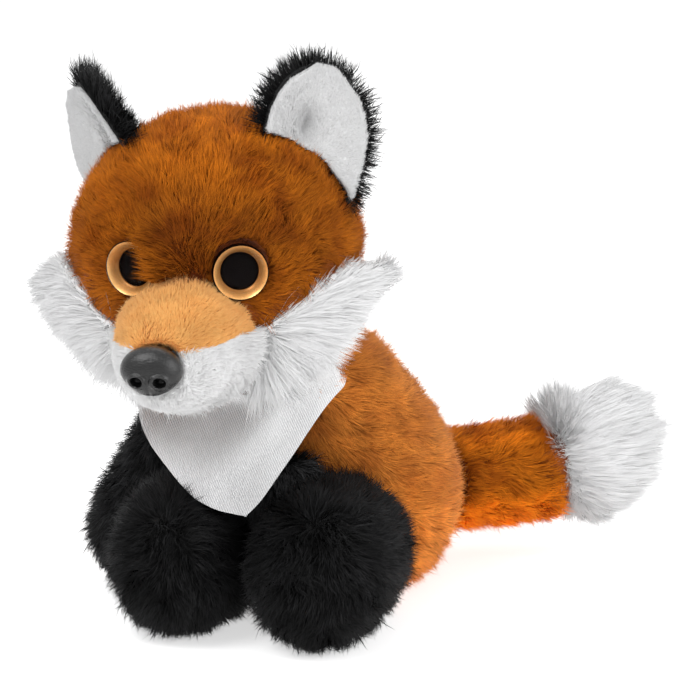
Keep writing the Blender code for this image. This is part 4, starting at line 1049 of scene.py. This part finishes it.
def dress_eyes():
    """Each eye's black cup, gold ring and clear dome, turned finely."""
    black, gold, clear = eye_paints()
    for side, sign in SIDES:
        look = eye_look(sign)
        cup, ring, lens = (cad_numbers([part + side])[0] for part in EYE_PARTS)
        middle = ring.mean(0)
        base = middle + look * ((cup @ look).max() - 2.2 * MM - middle @ look)
        top = ((lens @ look).max() - base @ look) / MM
        low, wide = DOME_ROWS[-1]
        dome = [(low + (top - low) * math.sin(angle), wide * math.cos(angle))
                for angle in (math.pi / 2 * step / DOME_STEPS for step in range(1, DOME_STEPS))]
        dome = (*DOME_ROWS, *dome, (top, 0))
        for name, rows, paint, part in (("eye_socket_", CUP_ROWS, black, EYE_PARTS[0]),
                                        ("eye_iris_", RING_ROWS, gold, EYE_PARTS[1]),
                                        ("eye_dome_", dome, clear, EYE_PARTS[2])):
            thing = turned_piece(name + side, base, look, rows, paint, part + side)
            if paint == gold:
                far = np.linalg.norm(np.cross(numbers(thing.data)[0] - base, look), axis=1)
                carry(thing.data, "along", smooth_step(far, 5.8 * MM, 8.2 * MM))


def dress_nose():
    """The moulded nose with its raised nostrils and a fine grain."""
    paint = Paint("nose_black")
    grain = paint.noise(2300, 2.0)
    paint.set(Base_Color=paint.mix(paint.noise(500), 0.003, 0.006), Specular_IOR_Level=0.50,
              Roughness=paint.span(grain, 0.3, 0.7, 0.10, 0.22))
    paint.bump(grain, 0.00018)
    cad, _ = cad_numbers(["nose"])
    ahead = cad @ HEAD_FRONT
    fore = cad[ahead > ahead.max() - 9 * MM]
    middle = (fore.max(0) + fore.min(0)) / 2
    tip = middle + HEAD_FRONT * (ahead.max() - middle @ HEAD_FRONT)
    depth, wide, high = NOSE_SIZE
    angles = np.arange(NOSE_SIDES) * math.tau / NOSE_SIDES
    narrow = 1 - 0.16 * np.maximum(-np.sin(angles), 0) ** 1.5
    sideways = np.outer(np.cos(angles) * wide * narrow, HEAD_LEFT) + np.outer(np.sin(angles) * high, UP)
    rings = [tip[None]]
    for ring in range(1, NOSE_RINGS + 1):
        share = math.pi * 0.80 * ring / NOSE_RINGS
        reach = math.sin(share) ** (0.82 if share < math.pi / 2 else 0.6)
        rings.append(tip - HEAD_FRONT * (depth / 2 * (1 - math.cos(share)) * 0.95) + sideways * reach)
    points = np.concatenate(rings)
    faces = [(0, 1 + step, 1 + (step + 1) % NOSE_SIDES) for step in range(NOSE_SIDES)]
    for low in range(1, 1 + (NOSE_RINGS - 1) * NOSE_SIDES, NOSE_SIDES):
        for step in range(NOSE_SIDES):
            after = (step + 1) % NOSE_SIDES
            faces.append((low + step, low + NOSE_SIDES + step, low + NOSE_SIDES + after, low + after))
    faces.append(tuple(range(len(points) - NOSE_SIDES, len(points))))
    x, y, z = ((points - tip) @ way for way in (HEAD_LEFT, HEAD_FRONT, UP))
    for _, sign in SIDES:
        gap = np.hypot((x - sign * 3.5 * MM) / 1.15, (z + 2.4 * MM) / 0.95)
        rim = hill(gap - 2.1 * MM, 0.55 * MM) * 0.8 * MM
        hole = (1 - smooth_step(gap, 0.6 * MM, 1.7 * MM)) * 2.6 * MM
        points += np.outer((rim - hole) * (y > -6.5 * MM), HEAD_FRONT)
    groove = hill(x, 0.5 * MM) * smooth_step(-z, 3.0 * MM, 5.0 * MM) * 0.35 * MM
    points -= np.outer(groove * (y > -8 * MM), HEAD_FRONT)
    mesh = from_numbers("nose_moulding", points, faces)
    face_outward(mesh)
    link("nose_moulding", mesh, paint.material, "head", ["nose"])


def body_radius(tree, points):
    """How far the body's surface is from its upright middle line, towards each point."""
    found = np.zeros(len(points))
    for number, point in enumerate(points):
        begin = Vector((0.0, BODY_MIDDLE, point[2]))
        way = Vector((point[0], point[1] - BODY_MIDDLE, 0.0)).normalized()
        hit = tree.ray_cast(begin + way * FAR_OUT, -way)
        found[number] = 0.0 if hit[0] is None else FAR_OUT - hit[3]
    return found


def cloth_mesh():
    """The bandana's cloth: higher under the left cheek, with its fold, its point and its sunk band."""
    merged = bmesh.new()
    merged.from_mesh(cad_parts["bandana"].data)
    bmesh.ops.remove_doubles(merged, verts=merged.verts[:], dist=0.02 * MM)
    bmesh.ops.join_triangles(merged, faces=merged.faces[:], angle_face_threshold=math.radians(60),
                             angle_shape_threshold=math.radians(60))
    bmesh.ops.subdivide_edges(merged, edges=merged.edges[:], cuts=1, use_grid_fill=True)
    mesh = bpy.data.meshes.new("bandana_cloth")
    merged.to_mesh(mesh)
    merged.free()
    points = numbers(mesh)[0]
    lowest = points[points[:, 2].argmin()].copy()
    outward = unit((points - (0.0, BODY_MIDDLE, 0.0)) * (1, 1, 0))
    degrees = np.degrees(np.arctan2(points[:, 0], BODY_MIDDLE - points[:, 1]))
    right = np.array((math.cos(CAMERA_AZIMUTH), math.sin(CAMERA_AZIMUTH), 0.0))
    across, up = points @ right, points[:, 2].copy()
    start, end = FOLD
    length = np.linalg.norm(np.subtract(end, start))
    way = np.subtract(end, start) / length
    far = (across - start[0]) * -way[1] + (up - start[1]) * way[0]
    along = (across - start[0]) * way[0] + (up - start[1]) * way[1]
    share = smooth_step(along, -6 * MM, 6 * MM) * (1 - smooth_step(along, length, length + 14 * MM))
    low = up < 0.080
    ridge = 2.0 * MM * hill(far - 4 * MM, 6 * MM)
    valley = 1.6 * MM * hill(far + 5 * MM, 5 * MM)
    ripple = waves(points, 26 * MM, 91) * 0.6 * MM * smooth_step(0.078 - up, 0.0, 0.012)
    body = cad_tree(["body_cover"])
    before = body_radius(body, points)
    points[:, 2] += CLOTH_LIFT * band_lift(degrees) * smooth_step(up, 0.052, 0.074)
    after = body_radius(body, points)
    follow = np.where((before > 0) & (after > 0), after - before, 0.0) * smooth_step(up, 0.060, 0.074)
    folded = (ridge - valley) * share * low
    points += outward * (follow + folded + ripple - BAND_SINK * band_hidden(points))[:, None]
    near = np.clip(1 - np.linalg.norm(points - lowest, axis=1) / (15 * MM), 0, 1) ** 1.5
    points += np.outer(near, CLOTH_POINT - lowest)
    mesh.vertices.foreach_set("co", points.astype(np.float32).ravel())
    mesh.update()
    mesh.shade_smooth()
    crease = np.clip((near - 0.80) / 0.15, 0, 1)
    carry(mesh, "crease_vert", crease)
    return mesh


def dress_bandana(mesh):
    """The bandana, a plain white twill."""
    paint = Paint("white_twill")
    line = paint.add("ShaderNodeVectorMath", {0: paint.places(), 1: TWILL_WAY}, operation="DOT_PRODUCT")
    waves_on = paint.math("MULTIPLY", line.outputs["Value"], math.tau / TWILL_STEP)
    # Painted shade: the twill's ribs are darker stripes in the colour, as well as a bump.
    shade = paint.span(paint.math("SINE", waves_on, 0.0), -1.0, 1.0)
    soft = paint.span(paint.noise(90, 2.0), 0.3, 0.7, 0.97, 1.02)
    paint.set(Base_Color=paint.brighter(paint.mix(shade, (0.72, 0.72, 0.73), (0.93, 0.93, 0.94)), soft),
              Roughness=0.85, Sheen_Weight=0.15)
    paint.bump(shade, 0.00020)
    thing = link("bandana_cloth", mesh, paint.material, "body", ["bandana"])
    smooth = thing.modifiers.new("smooth", "SUBSURF")
    smooth.levels = smooth.render_levels = 2


def dress_washers():
    """The lock washers inside the head, in milky plastic."""
    paint = Paint("washer_plastic")
    colour = paint.mix(paint.noise(400), (0.62, 0.62, 0.60), (0.70, 0.70, 0.68))
    paint.set(Base_Color=colour, Roughness=0.45)
    paint.bump(paint.noise(1500), 0.00003)
    for node in ("nose_washer", "eye_washer_left", "eye_washer_right"):
        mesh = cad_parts[node].data
        mesh.materials.clear()
        mesh.materials.append(paint.material)


def aimed(name, data, target, azimuth, elevation, distance):
    """A camera or lamp that looks at its target."""
    thing = add_thing(name, data)
    back = Vector((math.sin(azimuth) * math.cos(elevation), -math.cos(azimuth) * math.cos(elevation),
                   math.sin(elevation)))
    thing.location = target + back * distance
    thing.rotation_mode = "QUATERNION"
    thing.rotation_quaternion = (-back).to_track_quat("-Z", "Y")
    return thing


def make_camera():
    """The camera at the photograph's angle."""
    data = bpy.data.cameras.new("camera")
    data.lens, data.sensor_width = CAMERA_LENS, CAMERA_SENSOR
    data.shift_x, data.shift_y = CAMERA_SHIFT
    bpy.context.scene.camera = aimed("camera", data, CAMERA_TARGET, CAMERA_AZIMUTH, CAMERA_ELEVATION,
                                     CAMERA_DISTANCE)


def make_lamp(name, azimuth, elevation, distance, size, power):
    """A soft square lamp that looks at the fox."""
    data = bpy.data.lights.new(name, "AREA")
    data.shape, data.size, data.energy = "SQUARE", size, power
    aimed(name, data, LAMP_TARGET, math.radians(azimuth), math.radians(elevation), distance)


def make_stage():
    """A pale floor, a plain pale world and soft studio lamps."""
    bpy.context.scene.view_settings.view_transform = "Standard"
    world = bpy.data.worlds.new("studio")
    bpy.context.scene.world = world
    world.use_nodes = True
    sky = Nodes(world.node_tree)
    sky.tree.nodes.clear()
    rays = sky.add("ShaderNodeLightPath").outputs
    direct = rays["Is Camera Ray"]
    for kind in ("Is Glossy Ray", "Is Transmission Ray"):
        direct = sky.math("MAXIMUM", direct, rays[kind])
    strength = sky.span(direct, 0.0, 1.0, WORLD_LIGHT, 1.0)
    light = sky.add("ShaderNodeBackground", {"Color": 1.0, "Strength": strength})
    sky.add("ShaderNodeOutputWorld", {"Surface": light.outputs[0]})

    paint = Paint("floor")
    rays = paint.add("ShaderNodeLightPath").outputs
    shown = paint.math("MAXIMUM", rays["Is Camera Ray"], rays["Is Transmission Ray"])
    paint.set(Base_Color=paint.mix(paint.noise(2.0), 0.86, 0.87), Roughness=0.9, Specular_IOR_Level=0.0,
              Emission_Color=1.0, Emission_Strength=paint.span(shown, 0.0, 1.0, 0.36, 0.62))
    corners = np.array(((-1, -1, 0), (1, -1, 0), (1, 1, 0), (-1, 1, 0))) * FLOOR_HALF
    floor = link("floor", from_numbers("floor", corners, [(0, 1, 2, 3)], smooth=False), paint.material)
    for name, values in LAMPS.items():
        make_lamp(name, *values)


def main():
    """Dress every piece of the fox."""
    paints = make_paints()
    make_camera()
    make_stage()
    dress_head(paints)
    cloth = cloth_mesh()
    dress_body(paints, numbers(cloth))
    for name in LIMBS:
        dress_limb(name, paints)
    for dress in (dress_tail, dress_tuft, dress_ruffs, dress_muzzle, dress_ears, dress_neck):
        dress(paints)
    dress_eyes()
    dress_nose()
    dress_bandana(cloth)
    dress_washers()


main()
